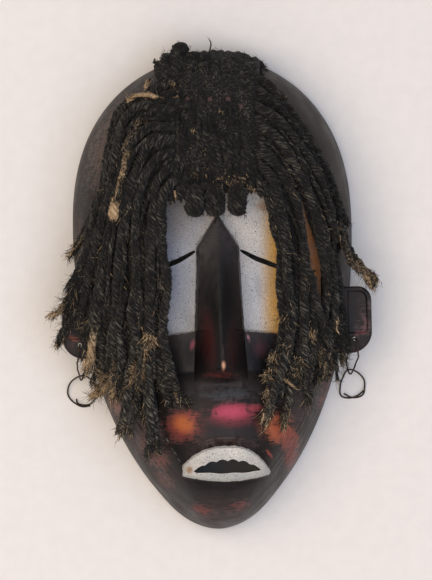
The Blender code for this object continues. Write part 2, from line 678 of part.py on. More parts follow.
def hook_route(side):
    """The wire loop through one lobe, from the middle of its hole round the lobe and the ring."""
    _, _, (hole_x, hole_y) = ear_sizes()
    w = WIRE_RADIUS
    front = EAR_FRONT + 3.0 * w
    back = EAR_FRONT - EAR_THICKNESS - 3.0 * w
    lobe = LOBE_HOLE_TO_TIP + 3.0 * w
    foot = LOBE_HOLE_TO_TIP + HOOK_DROP
    over_lobe = [
        (0.0, 0.0, 0.5 * (front + back)),
        (0.4 * w, -0.4 * w, front - 1.8 * w),
        (2.2 * w, -6.4 * w, front + 3.6 * w),
        (3.3 * w, 1.8 * w - lobe, front + 1.1 * w),
        (4.2 * w, -1.5 * w - lobe, front - 9.1 * w),
    ]
    down_to_ring = [
        (2.9 * w, -lobe - 0.35 * HOOK_DROP, 0.55 * front),
        (0.4 * w, 5.5 * w - foot, 0.39 * front),
        (-1.8 * w, -0.4 * w - foot, 13.1 * w),
        (-4.0 * w, -foot, 7.3 * w),
        (-5.3 * w, 3.6 * w - foot, 4.4 * w),
        (-6.2 * w, 7.6 * w - foot, 7.3 * w),
        (-7.6 * w, 12.0 * w - foot, 16.4 * w),
    ]
    up_behind = [
        (-8.0 * w, -3.6 * w - lobe, back - 9.1 * w),
        (-5.5 * w, 5.5 * w - lobe, back - 1.8 * w),
        (-2.2 * w, -5.5 * w, back - 2.2 * w),
        (0.0, -0.4 * w, back + 1.8 * w),
    ]
    knots = over_lobe + down_to_ring + up_behind
    closed = knots[-2:] + knots + knots[:2]
    route = []
    for index in range(1, len(closed) - 3):
        route.append(closed[index + 1])
        route.append(curve_through(closed[index:index + 4], 0.5))
    return [Vector((side * (hole_x + x), hole_y + y, z)) for x, y, z in route]


def build_earrings(maker):
    """A wire loop through each lobe and a wire ring that hangs in it."""
    _, _, (hole_x, hole_y) = ear_sizes()
    low = WIRE_RADIUS + CLEARANCE
    for label, side in (("left", -1.0), ("right", 1.0)):
        name = "earring_hook_" + label
        maker.piece(name, wire(name, hook_route(side), WIRE_RADIUS, 1, closed=True), WIRE_COLOUR, 0.5, 0.9)
        link_x = side * (hole_x - 5.3 * WIRE_RADIUS)
        link_y = hole_y - LOBE_HOLE_TO_TIP - HOOK_DROP + 3.8 * WIRE_RADIUS
        ring = []
        for step in range(16):
            angle = 0.125 * math.pi * step
            down = 0.5 * (1.0 - math.cos(angle))
            ring.append(Vector((link_x + RING_RADIUS * math.sin(angle), link_y - 2.0 * RING_RADIUS * down,
                                RING_TOP_HEIGHT + (low - RING_TOP_HEIGHT) * down)))
        name = "earring_ring_" + label
        maker.piece(name, wire(name, ring, WIRE_RADIUS, 1, closed=True), WIRE_COLOUR, 0.5, 0.9)


def centre_over_origin(maker):
    """Move the model so that its box stands on the origin, with the rim on the floor."""
    bpy.context.view_layer.update()
    graph = bpy.context.evaluated_depsgraph_get()
    low, high = Vector((1.0, 1.0, 1.0)), Vector((-1.0, -1.0, -1.0))
    for item in maker.parts.objects:
        if item.type == "EMPTY":
            continue
        evaluated = item.evaluated_get(graph)
        mesh = evaluated.to_mesh()
        for vert in mesh.vertices:
            place = evaluated.matrix_world @ vert.co
            low = Vector(map(min, low, place))
            high = Vector(map(max, high, place))
        evaluated.to_mesh_clear()
    maker.root.location = (-0.5 * (low.x + high.x), -0.5 * (low.y + high.y), 0.0)
    bpy.context.view_layer.update()


def main():
    """Build the mask."""
    clear_scene()
    maker = Maker()
    nail_holes = build_nail_holes(maker)
    build_body(maker, nail_holes)
    build_pad(maker, nail_holes)
    build_tacks(maker)
    build_locks(maker)
    build_stubs(maker)
    build_earrings(maker)
    centre_over_origin(maker)


main()
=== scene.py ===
"""Carved wooden face mask with plaited hair and wire earrings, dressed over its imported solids.

The mask lies face up on its back rim. Places on it are written in its own frame, in metres:
x to the right of the view, y from the widest line of the face up to the crown, z out of the
face. One shift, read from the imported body, carries that frame into the scene.
"""
import logging
import math
from dataclasses import dataclass, field
from enum import Enum
from typing import Iterable, Sequence

import bpy
import numpy as np
from mathutils import Matrix, Vector


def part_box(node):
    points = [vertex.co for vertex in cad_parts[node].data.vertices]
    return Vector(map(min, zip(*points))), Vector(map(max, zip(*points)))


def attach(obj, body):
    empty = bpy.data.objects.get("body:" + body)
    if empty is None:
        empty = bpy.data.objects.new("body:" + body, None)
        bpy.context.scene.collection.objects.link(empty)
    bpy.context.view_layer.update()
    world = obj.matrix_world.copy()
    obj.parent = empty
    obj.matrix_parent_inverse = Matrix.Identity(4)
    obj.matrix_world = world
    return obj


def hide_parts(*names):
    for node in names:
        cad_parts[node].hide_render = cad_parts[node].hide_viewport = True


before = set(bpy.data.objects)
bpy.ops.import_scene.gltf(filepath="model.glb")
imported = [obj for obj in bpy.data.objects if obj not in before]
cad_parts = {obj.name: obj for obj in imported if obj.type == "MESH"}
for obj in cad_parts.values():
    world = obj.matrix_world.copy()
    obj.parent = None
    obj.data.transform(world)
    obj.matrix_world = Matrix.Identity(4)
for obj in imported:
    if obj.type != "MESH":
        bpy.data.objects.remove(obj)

log = logging.getLogger("tribal_mask")

MM = 0.001
# Points closer than this are one point
WELD = 0.002 * MM
# Steps in the rounding of an edge or a wire
BEVEL_STEPS = 3
# The step over which a surface's slope is measured
SLOPE_STEP = 0.2 * MM
Array = np.ndarray
Plan = tuple[float, float]
Item = bpy.types.Object
Tree = bpy.types.NodeTree
Socket = bpy.types.NodeSocket


class Side(Enum):
    """Which side of the face, as seen from the front."""

    LEFT = -1.0
    RIGHT = 1.0


class Stuff(Enum):
    """The record's material slots."""

    WOOD = "carved_wood"
    HAIR = "matted_hair"
    TACK = "tack_metal"
    WIRE = "iron_wire"


# Small helpers for numbers and noise


def ease(low: float, high: float, value: Array) -> Array:
    """Ease from 0 at low to 1 at high.

    Args:
        low: where the easing starts.
        high: where it ends; it may lie below low.
        value: the numbers to ease.

    Returns:
        Numbers from 0 to 1.
    """
    share = np.clip((np.asarray(value, dtype=float) - low) / (high - low), 0.0, 1.0)
    return share * share * (3.0 - 2.0 * share)


def lattice_noise(places: Array, size: float, seed: int) -> Array:
    """Smooth noise whose lumps are about one size across.

    Args:
        places: rows of x, y, z.
        size: how far apart the noise's lattice points are, in the places' unit.
        seed: gives another pattern for each number.

    Returns:
        One number from -1 to 1 for each row.
    """
    spread = places / size + 17.31 * seed
    cell = np.floor(spread).astype(np.int64)
    part = spread - cell
    part = part * part * (3.0 - 2.0 * part)
    total = np.zeros(len(places))
    for corner in range(8):
        step = np.array([corner & 1, (corner >> 1) & 1, corner >> 2])
        key = (cell + step) @ np.array([73856093, 19349663, 83492791])
        key = (key ^ (key >> 13) ^ (seed * 40503)) * 1274126177
        value = ((key ^ (key >> 16)) & 0xFFFF) / 32767.5 - 1.0
        total += value * np.prod(np.where(step == 1, part, 1.0 - part), axis=1)
    return total


def layered_noise(places: Array, size: float, seed: int, layers: int = 3) -> Array:
    """Noise of several sizes, each half as large and half as strong as the last.

    Args:
        places: rows of x, y, z.
        size: the largest lumps' size.
        seed: gives another pattern for each number.
        layers: how many sizes are added.

    Returns:
        One number for each row, mostly from -1 to 1.
    """
    total = np.zeros(len(places))
    for layer in range(layers):
        total += 0.5 ** layer * lattice_noise(places, size * 0.5 ** layer, seed + 11 * layer)
    return total / (2.0 - 0.5 ** (layers - 1))


def rim_crowded(steps: Array) -> Array:
    """Turn even steps from the middle to a rim into steps that crowd where the rim falls off."""
    return np.sin(0.5 * math.pi * steps * (0.62 + 0.38 * steps * steps))


def unit(rows: Array) -> Array:
    """Bring directions to length 1."""
    return rows / np.maximum(np.linalg.norm(rows, axis=-1, keepdims=True), 1e-9)


def spread_over(values: Sequence[float], count: int) -> Array:
    """Stretch a few values, given at even steps, over a line of many points."""
    return np.interp(np.linspace(0.0, 1.0, count), np.linspace(0.0, 1.0, len(values)), values)


def smooth_path(knots: Array, step: float) -> Array:
    """Points at an even spacing on the smooth curve through the knots.

    Args:
        knots: rows of x, y, z.
        step: the wanted spacing.

    Returns:
        Rows of x, y, z.
    """
    knots = np.asarray(knots, dtype=float)
    before = np.vstack([2.0 * knots[0] - knots[1], knots[:-1]])[:-1]
    start, end = knots[:-1], knots[1:]
    after = np.vstack([knots[2:], 2.0 * knots[-1] - knots[-2]])
    t = np.linspace(0.0, 1.0, 24, endpoint=False)[None, :, None]
    a, b, c, d = (part[:, None, :] for part in (before, start, end, after))
    fine = 0.5 * (2.0 * b + (c - a) * t + (2.0 * a - 5.0 * b + 4.0 * c - d) * t ** 2
                  + (3.0 * b - a - 3.0 * c + d) * t ** 3)
    fine = np.vstack([fine.reshape(-1, 3), knots[-1]])
    reach = np.concatenate([[0.0], np.cumsum(np.linalg.norm(np.diff(fine, axis=0), axis=1))])
    count = max(2, int(round(reach[-1] / step)) + 1)
    even = np.linspace(0.0, reach[-1], count)
    return np.stack([np.interp(even, reach, fine[:, axis]) for axis in range(3)], axis=1)


def linear(colour: str) -> tuple[float, float, float]:
    """Turn an sRGB hex colour into linear red, green and blue.

    Args:
        colour: a hex colour such as "#8d7051".

    Returns:
        Three numbers from 0 to 1.
    """
    parts = [int(colour[at:at + 2], 16) / 255.0 for at in (1, 3, 5)]
    return tuple(c / 12.92 if c <= 0.04045 else ((c + 0.055) / 1.055) ** 2.4 for c in parts)


# The carved face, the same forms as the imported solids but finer


@dataclass(frozen=True)
class Face:
    """The carved face's sizes in metres, its carving as shares, and the heights they give.

    across is a share of the local half width. side is a share of the face's half width.
    drop is a share of the way from the widest line down to the chin, negative downwards.
    """

    half: float = 0.0945
    crown: float = 0.1175
    chin: float = 0.2025
    dome: float = 0.088
    side_wall: float = 0.011
    front_wall: float = 0.012
    panel_recess: float = 0.0125
    tip_depth: float = 0.108
    root_depth: float = 0.089
    swell: float = 0.42
    lip_relief: float = 0.0045
    lip_edge: float = 0.007
    lip_corner_edge: float = 0.02
    ridge_rounding: float = 0.012
    tip_arch: float = 0.025
    panel_top: float = 0.12
    panel_foot: float = -0.331
    foot_slope: float = -0.047
    panel_outer: float = 0.76
    nose_root: float = 0.046
    nose_bridge: float = -0.059
    bridge_width: float = 0.143
    nose_tip: float = -0.455
    tip_width: float = 0.184
    chin_bluntness: float = 0.05
    nose_seat: float = -0.52
    muzzle_top: float = -0.469
    muzzle_full: float = -0.864
    lip_crest: float = -0.7175
    lip_corner_drop: float = -0.0864
    lip_left_corner_drop: float = -0.062
    lip_foot: float = -0.837
    lip_half: float = 0.315
    lip_offset: float = 0.028
    mouth_crest: float = -0.769
    mouth_corner_drop: float = -0.031
    mouth_foot: float = -0.809
    mouth_half: float = 0.241

    def reach(self, y: Array, inset: float = 0.0) -> Array:
        """How far the face goes on this side of its widest line."""
        return np.where(np.asarray(y) >= 0.0, self.crown, self.chin) - inset

    def half_width(self, along: Array, inset: float = 0.0) -> Array:
        """Half width of the outline at a share of the way to the crown or the chin."""
        share = np.clip(np.abs(along), 0.0, 1.0)
        upper = np.sqrt(1.0 - share ** 2.4)
        lower = (1.0 - share ** 2) ** (0.6 - self.chin_bluntness * ease(0.85, 1.0, share))
        return (self.half - inset) * np.where(np.asarray(along) >= 0.0, upper, lower)

    def as_drop(self, along: Array) -> Array:
        """Turn a share of the way to the crown or the chin into a drop."""
        return np.where(along < 0.0, along, along * self.crown / self.chin)

    def vault(self, across: Array, along: Array, depth: float, swell: float) -> Array:
        """Height of the plain vault.

        Args:
            across: share of the local half width.
            along: share of the way to the crown, or negative to the chin.
            depth: how high the vault is.
            swell: how far the muzzle bulges, as a share.

        Returns:
            Heights in metres.
        """
        share = np.clip(np.abs(along), 0.0, 1.0)
        bend = np.where(np.asarray(along) >= 0.0, 2.6, 3.0)
        lengthwise = (1.0 - share ** bend) ** 0.4545
        muzzle = np.clip((self.muzzle_top - along) / (self.muzzle_top - self.muzzle_full), 0.0, 1.0)
        muzzle = muzzle * muzzle / (muzzle + 0.03) ** 1.2 * 1.036
        muzzle = muzzle * (1.0 - 0.5 * ease(0.5, 1.0, np.abs(across)))
        crosswise = np.sqrt(1.0 - np.clip(np.abs(across), 0.0, 1.0) ** 2.4)
        return depth * lengthwise * crosswise * (1.0 + swell * muzzle)

    def nose_width(self, drop: Array) -> Array:
        """Half width of the nose where it meets the face, as a share of the half width."""
        upper = self.bridge_width * ease(self.nose_root + 0.01, self.nose_bridge, drop)
        share = np.clip((self.nose_bridge - drop) / (self.nose_bridge - self.nose_tip), 0.0, 1.0)
        lower = self.bridge_width + (self.tip_width - self.bridge_width) * share ** 1.3
        return np.where(drop > self.nose_bridge, upper, lower)

    def panel_inner(self, drop: Array) -> Array:
        """Where the eye panel starts beside the nose, as a share of the half width."""
        slant = self.bridge_width * (self.nose_root - drop) / (self.nose_root - self.nose_bridge)
        return np.where(drop > self.nose_bridge, slant, self.nose_width(drop))

    def panel_sink(self, side: Array, drop: Array) -> Array:
        """Share of the eye panel's recess, with the hollow of the cheek below it."""
        inner = self.panel_inner(drop)
        foot = self.panel_foot + self.foot_slope * side
        panel = ease(inner - 0.006, inner + 0.010, side)
        panel = panel * ease(self.panel_outer + 0.04, self.panel_outer - 0.04, side)
        panel = panel * ease(self.panel_top + 0.008, self.panel_top - 0.004, drop)
        panel = panel * ease(foot - 0.003, foot + 0.003, drop)
        panel = panel * (1.0 - 0.82 * ease(0.35, 0.78, side))
        cheek = 0.5 * ease(0.0, 1.0, (drop - self.muzzle_top + 0.05) / (foot - self.muzzle_top + 0.05))
        cheek = cheek * ease(0.70, 0.35, side) * (drop <= foot + 0.003) * ease(0.3 * inner, inner, side)
        return np.maximum(panel, cheek)

    def tip_line(self, side: Array) -> Array:
        """The drop of the nose's lower edge, which is arched over the lip."""
        return self.nose_tip - self.tip_arch * (side / self.tip_width) ** 1.2

    def nose_ridge(self, side: Array, drop: Array) -> Array:
        """Height of the nose's ridge, with its underside sloping back to the lip."""
        tip = self.tip_line(np.abs(side))
        share = ease(0.0, 1.0, (self.nose_root + 0.02 - drop) / (self.nose_root + 0.14 - tip))
        ridge = self.root_depth + (self.tip_depth - self.root_depth) * share
        under = (self.tip_depth - 0.93 * self.root_depth) * (tip - drop) / (tip - self.nose_seat)
        return ridge - np.where(drop < tip, under, 0.0)

    def lip_edges(self, across: Array) -> tuple[Array, Array, Array]:
        """The lips' edges over a signed share of the half width.

        Args:
            across: share of the face's half width, negative to the left.

        Returns:
            The distance from the lips' middle, and their upper and lower edge as drops.
        """
        shifted = across - self.lip_offset
        corner = np.clip(np.abs(shifted) / self.lip_half, 0.0, 1.0)
        fall = np.where(shifted < 0.0, self.lip_left_corner_drop, self.lip_corner_drop)
        return np.abs(shifted), self.lip_crest + fall * corner ** 2.6, self.lip_foot + 0.02 * corner ** 2

    def lip_rise(self, across: Array, drop: Array) -> Array:
        """Share of the lips' relief, rounded at their edges."""
        side, crest, foot = self.lip_edges(across)
        rise = ease(0.0, self.lip_edge, crest - drop) * ease(0.0, self.lip_edge, drop - foot)
        return rise * ease(self.lip_half, self.lip_half - self.lip_corner_edge, side)

    def carved_height(self, across: Array, along: Array) -> Array:
        """Height of the carved front.

        Args:
            across: share of the local half width.
            along: share of the way to the crown, or negative to the chin.

        Returns:
            Heights in metres.
        """
        side = np.abs(across) * self.half_width(along) / self.half
        drop = self.as_drop(along)
        height = self.vault(across, along, self.dome, self.swell)
        height = height - self.panel_recess * self.panel_sink(side, drop)
        width = np.maximum(self.nose_width(drop), 1e-6)
        on_nose = (drop > self.nose_seat - 0.03) & (drop < self.nose_root + 0.02) & (side < width)
        rounded = np.minimum(np.hypot(side, self.ridge_rounding) - self.ridge_rounding, width)
        ridge = self.nose_ridge(side, drop)
        wedge = ridge - (ridge - height) * (rounded / width) ** 1.15
        soft = 0.3 * MM + 2.4 * MM * ease(self.panel_foot, self.panel_foot - 0.05, drop)
        soft = soft * ease(1.0, 0.75, side / width)
        joined = 0.5 * (height + wedge + np.sqrt((height - wedge) ** 2 + soft ** 2))
        height = np.where(on_nose, joined, height)
        return height + self.lip_relief * self.lip_rise(np.sign(across) * side, drop)

    def shares(self, x: Array, y: Array) -> tuple[Array, Array]:
        """Turn a place of the plan into across and along."""
        along = np.clip(y / self.reach(y), -1.0, 1.0)
        return x / np.maximum(self.half_width(along), 1e-6), along

    def height_at(self, x: Array, y: Array) -> Array:
        """Height of the carved front over a place of the plan, 0 outside the outline."""
        across, along = self.shares(x, y)
        return np.where(np.abs(across) < 1.0, self.carved_height(np.clip(across, -1.0, 1.0), along), 0.0)

    def hollow_height(self, across: Array, along: Array) -> Array:
        """Height of the hollow behind the face."""
        side = np.abs(across) * self.half_width(along, self.side_wall) / self.half
        drop = self.as_drop(along)
        height = self.vault(across, along, self.dome - self.front_wall, 0.7 * self.swell)
        sink = ease(0.97, 0.80, side) * ease(self.panel_top + 0.14, self.panel_top + 0.04, drop)
        sink = sink * ease(self.muzzle_top - 0.06, self.panel_foot - 0.03, drop)
        return height - self.panel_recess * sink * (1.0 - 0.6 * ease(0.45, 0.78, side))


FACE = Face()
BODY_LOW, BODY_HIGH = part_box("mask_body")
SHIFT = Vector((0.5 * (BODY_LOW[0] + BODY_HIGH[0]), BODY_LOW[1] + FACE.chin, 0.0))
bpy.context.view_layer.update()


# Small helpers for meshes


def deselect_all() -> None:
    """Leave object mode with nothing selected."""
    if bpy.context.object and bpy.context.object.mode != "OBJECT":
        bpy.ops.object.mode_set(mode="OBJECT")
    bpy.ops.object.select_all(action="DESELECT")


def make_active(item: Item) -> None:
    """Select one object alone and make it the active one."""
    deselect_all()
    item.select_set(True)
    bpy.context.view_layer.objects.active = item


def apply_modifiers(item: Item) -> None:
    """Apply every modifier of an object, in order."""
    make_active(item)
    for modifier in list(item.modifiers):
        bpy.ops.object.modifier_apply(modifier=modifier.name)


def mesh_object(name: str, verts: Array, faces: Iterable[Sequence[int]]) -> Item:
    """Make an object from points and faces.

    Args:
        name: the object's name.
        verts: rows of x, y, z.
        faces: the corners of each face.

    Returns:
        The new object, linked into the scene.
    """
    mesh = bpy.data.meshes.new(name)
    mesh.from_pydata(np.asarray(verts).tolist(), [], faces if isinstance(faces, list) else faces.tolist())
    mesh.update()
    item = bpy.data.objects.new(name, mesh)
    bpy.context.scene.collection.objects.link(item)
    return item


def set_places(mesh: bpy.types.Mesh, places: Array) -> None:
    """Write all of a mesh's points at once."""
    mesh.vertices.foreach_set("co", np.ascontiguousarray(places, dtype=np.float32).ravel())
    mesh.update()


def get_places(mesh: bpy.types.Mesh) -> Array:
    """Read all of a mesh's points at once, as rows of x, y, z."""
    places = np.empty(3 * len(mesh.vertices), dtype=np.float32)
    mesh.vertices.foreach_get("co", places)
    return places.reshape(-1, 3).astype(float)


def set_field(mesh: bpy.types.Mesh, name: str, values: Array) -> None:
    """Store a number, a vector or a colour for each point.

    Args:
        mesh: the mesh that gets it.
        name: the attribute's name.
        values: one row for each point, with 1, 3 or 4 numbers.
    """
    values = np.asarray(values, dtype=np.float32)
    width = 1 if values.ndim == 1 else values.shape[1]
    kind, key = {1: ("FLOAT", "value"), 3: ("FLOAT_VECTOR", "vector"), 4: ("FLOAT_COLOR", "color")}[width]
    layer = mesh.attributes.new(name, kind, "POINT")
    layer.data.foreach_set(key, np.ascontiguousarray(values).ravel())


def into_scene(item: Item) -> None:
    """Carry a finished piece from the mask's own frame into the scene, place and turn in its mesh."""
    item.data.transform(Matrix.Translation(SHIFT) @ item.matrix_world)
    item.matrix_world = Matrix.Identity(4)
    item.data.update()


def finish_piece(item: Item, material: bpy.types.Material, stuff: Stuff,
                 nodes: Sequence[str], smooth_angle: float = 180.0) -> None:
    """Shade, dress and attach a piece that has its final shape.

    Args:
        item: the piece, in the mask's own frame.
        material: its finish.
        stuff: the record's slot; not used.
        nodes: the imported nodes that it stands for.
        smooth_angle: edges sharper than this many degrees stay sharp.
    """
    into_scene(item)
    item.data.materials.clear()
    item.data.materials.append(material)
    make_active(item)
    if smooth_angle >= 180.0:
        bpy.ops.object.shade_smooth()
    else:
        bpy.ops.object.shade_smooth_by_angle(angle=math.radians(smooth_angle))
    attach(item, "root")
    if nodes:
        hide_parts(*nodes)
    item.data.calc_loop_triangles()
    log.info("%s: %d triangles", item.name, len(item.data.loop_triangles))


def swept(name: str, points: Iterable[Sequence[float]], closed: bool, settings: dict) -> Item:
    """A straight-edged curve through points, turned into a mesh.

    Args:
        name: the object's name.
        points: rows of x, y, z.
        closed: whether its ends join.
        settings: the curve's properties, in the order to set them.

    Returns:
        The mesh object.
    """
    data = bpy.data.curves.new(name, "CURVE")
    for key, value in settings.items():
        setattr(data, key, value)
    points = list(points)
    spline = data.splines.new("POLY")
    spline.points.add(len(points) - 1)
    for point, place in zip(spline.points, points):
        point.co = (*place, 1.0)
    spline.use_cyclic_u = closed
    item = bpy.data.objects.new(name, data)
    bpy.context.scene.collection.objects.link(item)
    make_active(item)
    bpy.ops.object.convert(target="MESH")
    return bpy.context.object


def flat_outline(name: str, outline: Sequence[Plan], low: float, high: float, bevel: float) -> Item:
    """A flat outline given thickness, with rounded edges.

    Args:
        name: the object's name.
        outline: the corners, in order.
        low: the underside's height.
        high: the top's height.
        bevel: the rounding's radius, which is inside the outline.

    Returns:
        A closed mesh object.
    """
    item = swept(name, [(x, y, 0.0) for x, y in outline], True, {
        "dimensions": "2D", "fill_mode": "BOTH", "extrude": 0.5 * (high - low) - bevel, "bevel_depth": bevel,
        "bevel_resolution": BEVEL_STEPS, "offset": -bevel})
    item.data.transform(Matrix.Translation((0.0, 0.0, 0.5 * (low + high))))
    bpy.ops.object.mode_set(mode="EDIT")
    bpy.ops.mesh.select_all(action="SELECT")
    bpy.ops.mesh.remove_doubles(threshold=0.5 * WELD)
    bpy.ops.mesh.normals_make_consistent(inside=False)
    bpy.ops.object.mode_set(mode="OBJECT")
    return item


def close_dome(item: Item, skirt: float = 0.0) -> None:
    """Merge an open dome's doubled points and close its rim with one flat face.

    Args:
        item: the dome.
        skirt: how far the rim is drawn down first.
    """
    make_active(item)
    bpy.ops.object.mode_set(mode="EDIT")
    bpy.ops.mesh.select_all(action="SELECT")
    bpy.ops.mesh.remove_doubles(threshold=WELD)
    bpy.ops.mesh.select_all(action="DESELECT")
    bpy.ops.mesh.select_non_manifold(extend=False, use_wire=False, use_multi_face=False,
                                     use_non_contiguous=False, use_verts=False)
    if skirt > 0.0:
        bpy.ops.mesh.extrude_region_move(TRANSFORM_OT_translate={"value": (0.0, 0.0, -skirt)})
    bpy.ops.mesh.edge_face_add()
    bpy.ops.mesh.select_all(action="SELECT")
    bpy.ops.mesh.normals_make_consistent(inside=False)
    bpy.ops.object.mode_set(mode="OBJECT")


# Finishes


def add_node(tree: Tree, kind: str, settings: dict | None = None,
             inputs: dict | None = None) -> bpy.types.Node:
    """Add one node with its settings and links.

    Args:
        tree: the node tree.
        kind: the node's type name.
        settings: properties to set.
        inputs: sockets by name or number, each with a value or the socket that feeds it.

    Returns:
        The new node.
    """
    made = tree.nodes.new(kind)
    for key, value in (settings or {}).items():
        setattr(made, key, value)
    feed(tree, made, inputs or {})
    return made


def feed(tree: Tree, node: bpy.types.Node, inputs: dict) -> None:
    """Give a node's inputs a plain value, or link the socket that feeds them."""
    for key, value in inputs.items():
        if isinstance(value, Socket):
            tree.links.new(value, node.inputs[key])
        else:
            node.inputs[key].default_value = value


class Nodes:
    """A material being made. Each method adds one step and gives its output."""

    def __init__(self, name: str) -> None:
        """Start a material that holds its shader and output alone."""
        self.material = bpy.data.materials.new(name)
        self.material.use_nodes = True
        self.tree = self.material.node_tree
        self.coords = self._output("ShaderNodeTexCoord", "Object")

    def _output(self, kind: str, output: int | str, settings: dict | None = None,
                inputs: dict | None = None) -> Socket:
        """Add one node and give one of its outputs."""
        return add_node(self.tree, kind, settings, inputs).outputs[output]

    def noise(self, sizes: float | tuple[float, float, float], detail: float,
              coords: Socket | None = None) -> Socket:
        """Noise whose lumps have the given real sizes.

        Args:
            sizes: the lumps' size in millimetres, one for all axes or one for each.
            detail: how many finer layers are added.
            coords: coordinates in metres, the object's own unless given.

        Returns:
            The noise's number, about 0 to 1.
        """
        each = sizes if isinstance(sizes, tuple) else (sizes, sizes, sizes)
        scaled = self._output("ShaderNodeMapping", 0, inputs={
            "Vector": self.coords if coords is None else coords,
            "Scale": tuple(1.0 / (size * MM) for size in each)})
        return self._output("ShaderNodeTexNoise", "Fac",
                            inputs={"Vector": scaled, "Scale": 1.0, "Detail": detail})

    def ramp(self, value: Socket, low: float, high: float, to_low: float = 0.0,
             to_high: float = 1.0) -> Socket:
        """Map a number from one range to another, clamped and eased."""
        if low > high:
            low, high, to_low, to_high = high, low, to_high, to_low
        return self._output("ShaderNodeMapRange", 0, {"interpolation_type": "SMOOTHSTEP"},
                            {0: value, 1: low, 2: high, 3: to_low, 4: to_high})

    def plus(self, first: Socket, second: Socket | float) -> Socket:
        """The sum of two numbers."""
        return self._output("ShaderNodeMath", 0, {"operation": "ADD"}, {0: first, 1: second})

    def times(self, first: Socket, second: Socket | float) -> Socket:
        """The product of two numbers."""
        return self._output("ShaderNodeMath", 0, {"operation": "MULTIPLY"}, {0: first, 1: second})

    def swing(self, value: Socket, middle: float, strength: float) -> Socket:
        """How far a number is from its middle, made stronger or weaker."""
        return self.times(self.plus(value, -middle), strength)

    def mix(self, factor: Socket, first: Socket | str, second: Socket | str) -> Socket:
        """Mix two colours, each a hex colour or a socket."""
        sides = [(*linear(side), 1.0) if isinstance(side, str) else side for side in (first, second)]
        return self._output("ShaderNodeMix", 2, {"data_type": "RGBA"}, {0: factor, 6: sides[0], 7: sides[1]})

    def bump(self, height: Socket, depth_mm: float, under: Socket | None = None) -> Socket:
        """A bump from a height, over another bump if one is given."""
        inputs = {"Height": height, "Distance": depth_mm * MM, "Strength": 1.0}
        if under is not None:
            inputs["Normal"] = under
        return self._output("ShaderNodeBump", 0, inputs=inputs)

    def read(self, name: str, output: str = "Fac") -> Socket:
        """Read one of the piece's own fields."""
        return self._output("ShaderNodeAttribute", output, {"attribute_name": name})

    def finish(self, inputs: dict) -> bpy.types.Material:
        """Feed the shader and give the finished material."""
        feed(self.tree, self.tree.nodes["Principled BSDF"], inputs)
        return self.material


@dataclass(frozen=True)
class PaintedWood:
    """Carved softwood, stained near black and waxed, with whitened eyes and lips.

    The stain lies thin on edges and handled places, where red primer shows through. Wax gives
    the dark parts a satin sheen, and the chalky white has none and shows its grit. Some patches
    are painted light: a lighter left side and rim, a blue-grey sheen and highlights on the muzzle,
    shade and cool light on the left eye panel and warm light on the right one.
    """

    name: str = "stained_carved_wood"
    deep: str = "#151211"
    thin: str = "#2a211f"
    edge: str = "#453029"
    raw: str = "#5a4330"
    raw_dark: str = "#3b2c20"
    grime: str = "#4c4744"
    smoke: str = "#80868f"
    pit: str = "#3a3534"
    grain_mm: tuple[float, float, float] = (0.9, 26.0, 3.0)
    cloud_mm: tuple[float, float, float] = (14.0, 22.0, 14.0)
    rub_mm: tuple[float, float, float] = (3.2, 4.5, 3.2)
    brush_mm: tuple[float, float, float] = (8.0, 0.9, 8.0)
    grit_mm: float = 0.7
    speck_mm: float = 1.3
    grain_depth_mm: float = 0.10
    rub_depth_mm: float = 0.12
    grit_depth_mm: float = 0.16
    ragged_edge_mm: float = 1.6
    roughness: float = 0.44
    paint_roughness: float = 0.86
    specular: float = 0.19

    def material(self) -> bpy.types.Material:
        """Build the wood's nodes."""
        nodes = Nodes(self.name)
        ramp, mix = nodes.ramp, nodes.mix
        grain, cloud = nodes.noise(self.grain_mm, 3.0), nodes.noise(self.cloud_mm, 4.0)
        rub, brush = nodes.noise(self.rub_mm, 3.0), nodes.noise(self.brush_mm, 3.0)
        grit, speck = nodes.noise(self.grit_mm, 2.0), nodes.noise(self.speck_mm, 1.0)
        stain = mix(ramp(cloud, 0.35, 0.72), self.deep, self.thin)
        stain = mix(ramp(grain, 0.58, 0.80, 0.0, 0.35), stain, self.thin)
        stain = mix(nodes.times(nodes.read("wear"), ramp(rub, 0.38, 0.62)), stain, self.edge)
        # This field holds stain and wear patches and painted light: a lighter left side and rim, a blue-grey
        # sheen and highlights on the muzzle
        cover = nodes.read("patina", "Alpha")
        brushed = nodes.plus(cover, nodes.swing(nodes.plus(rub, brush), 1.0, 1.5))
        patina = nodes.times(ramp(brushed, 0.16, 0.84), ramp(cover, 0.0, 0.12))
        wood = mix(patina, stain, nodes.read("patina", "Color"))
        depth = nodes.read("depth_mm")
        ragged = nodes.plus(nodes.read("paint_mm"), nodes.swing(rub, 0.5, self.ragged_edge_mm))
        painted = nodes.times(ramp(ragged, -0.15, 0.35), ramp(depth, 1.6, 0.6))
        # The paint's colour holds painted shade and cool light on the left eye panel and painted warm light
        # on the right one
        paint = mix(ramp(grit, 0.30, 0.75, 0.42, 0.0), nodes.read("paint", "Color"), self.grime)
        paint = mix(ramp(cloud, 0.40, 0.75, 0.0, 0.30), paint, self.smoke)
        paint = mix(ramp(speck, 0.66, 0.72, 0.0, 0.75), paint, self.pit)
        bare = mix(ramp(grain, 0.3, 0.7), self.raw_dark, self.raw)
        colour = mix(ramp(depth, 7.0, 9.5), mix(painted, wood, paint), bare)
        rough = nodes.plus(ramp(cloud, 0.3, 0.7, self.roughness - 0.05, self.roughness + 0.12),
                           nodes.times(painted, self.paint_roughness - self.roughness))
        relief = nodes.bump(rub, self.rub_depth_mm, nodes.bump(grain, self.grain_depth_mm))
        relief = nodes.bump(nodes.times(grit, nodes.plus(painted, 0.12)), self.grit_depth_mm, relief)
        return nodes.finish({"Base Color": colour, "Roughness": rough, "Normal": relief,
                             "Specular IOR Level": self.specular})


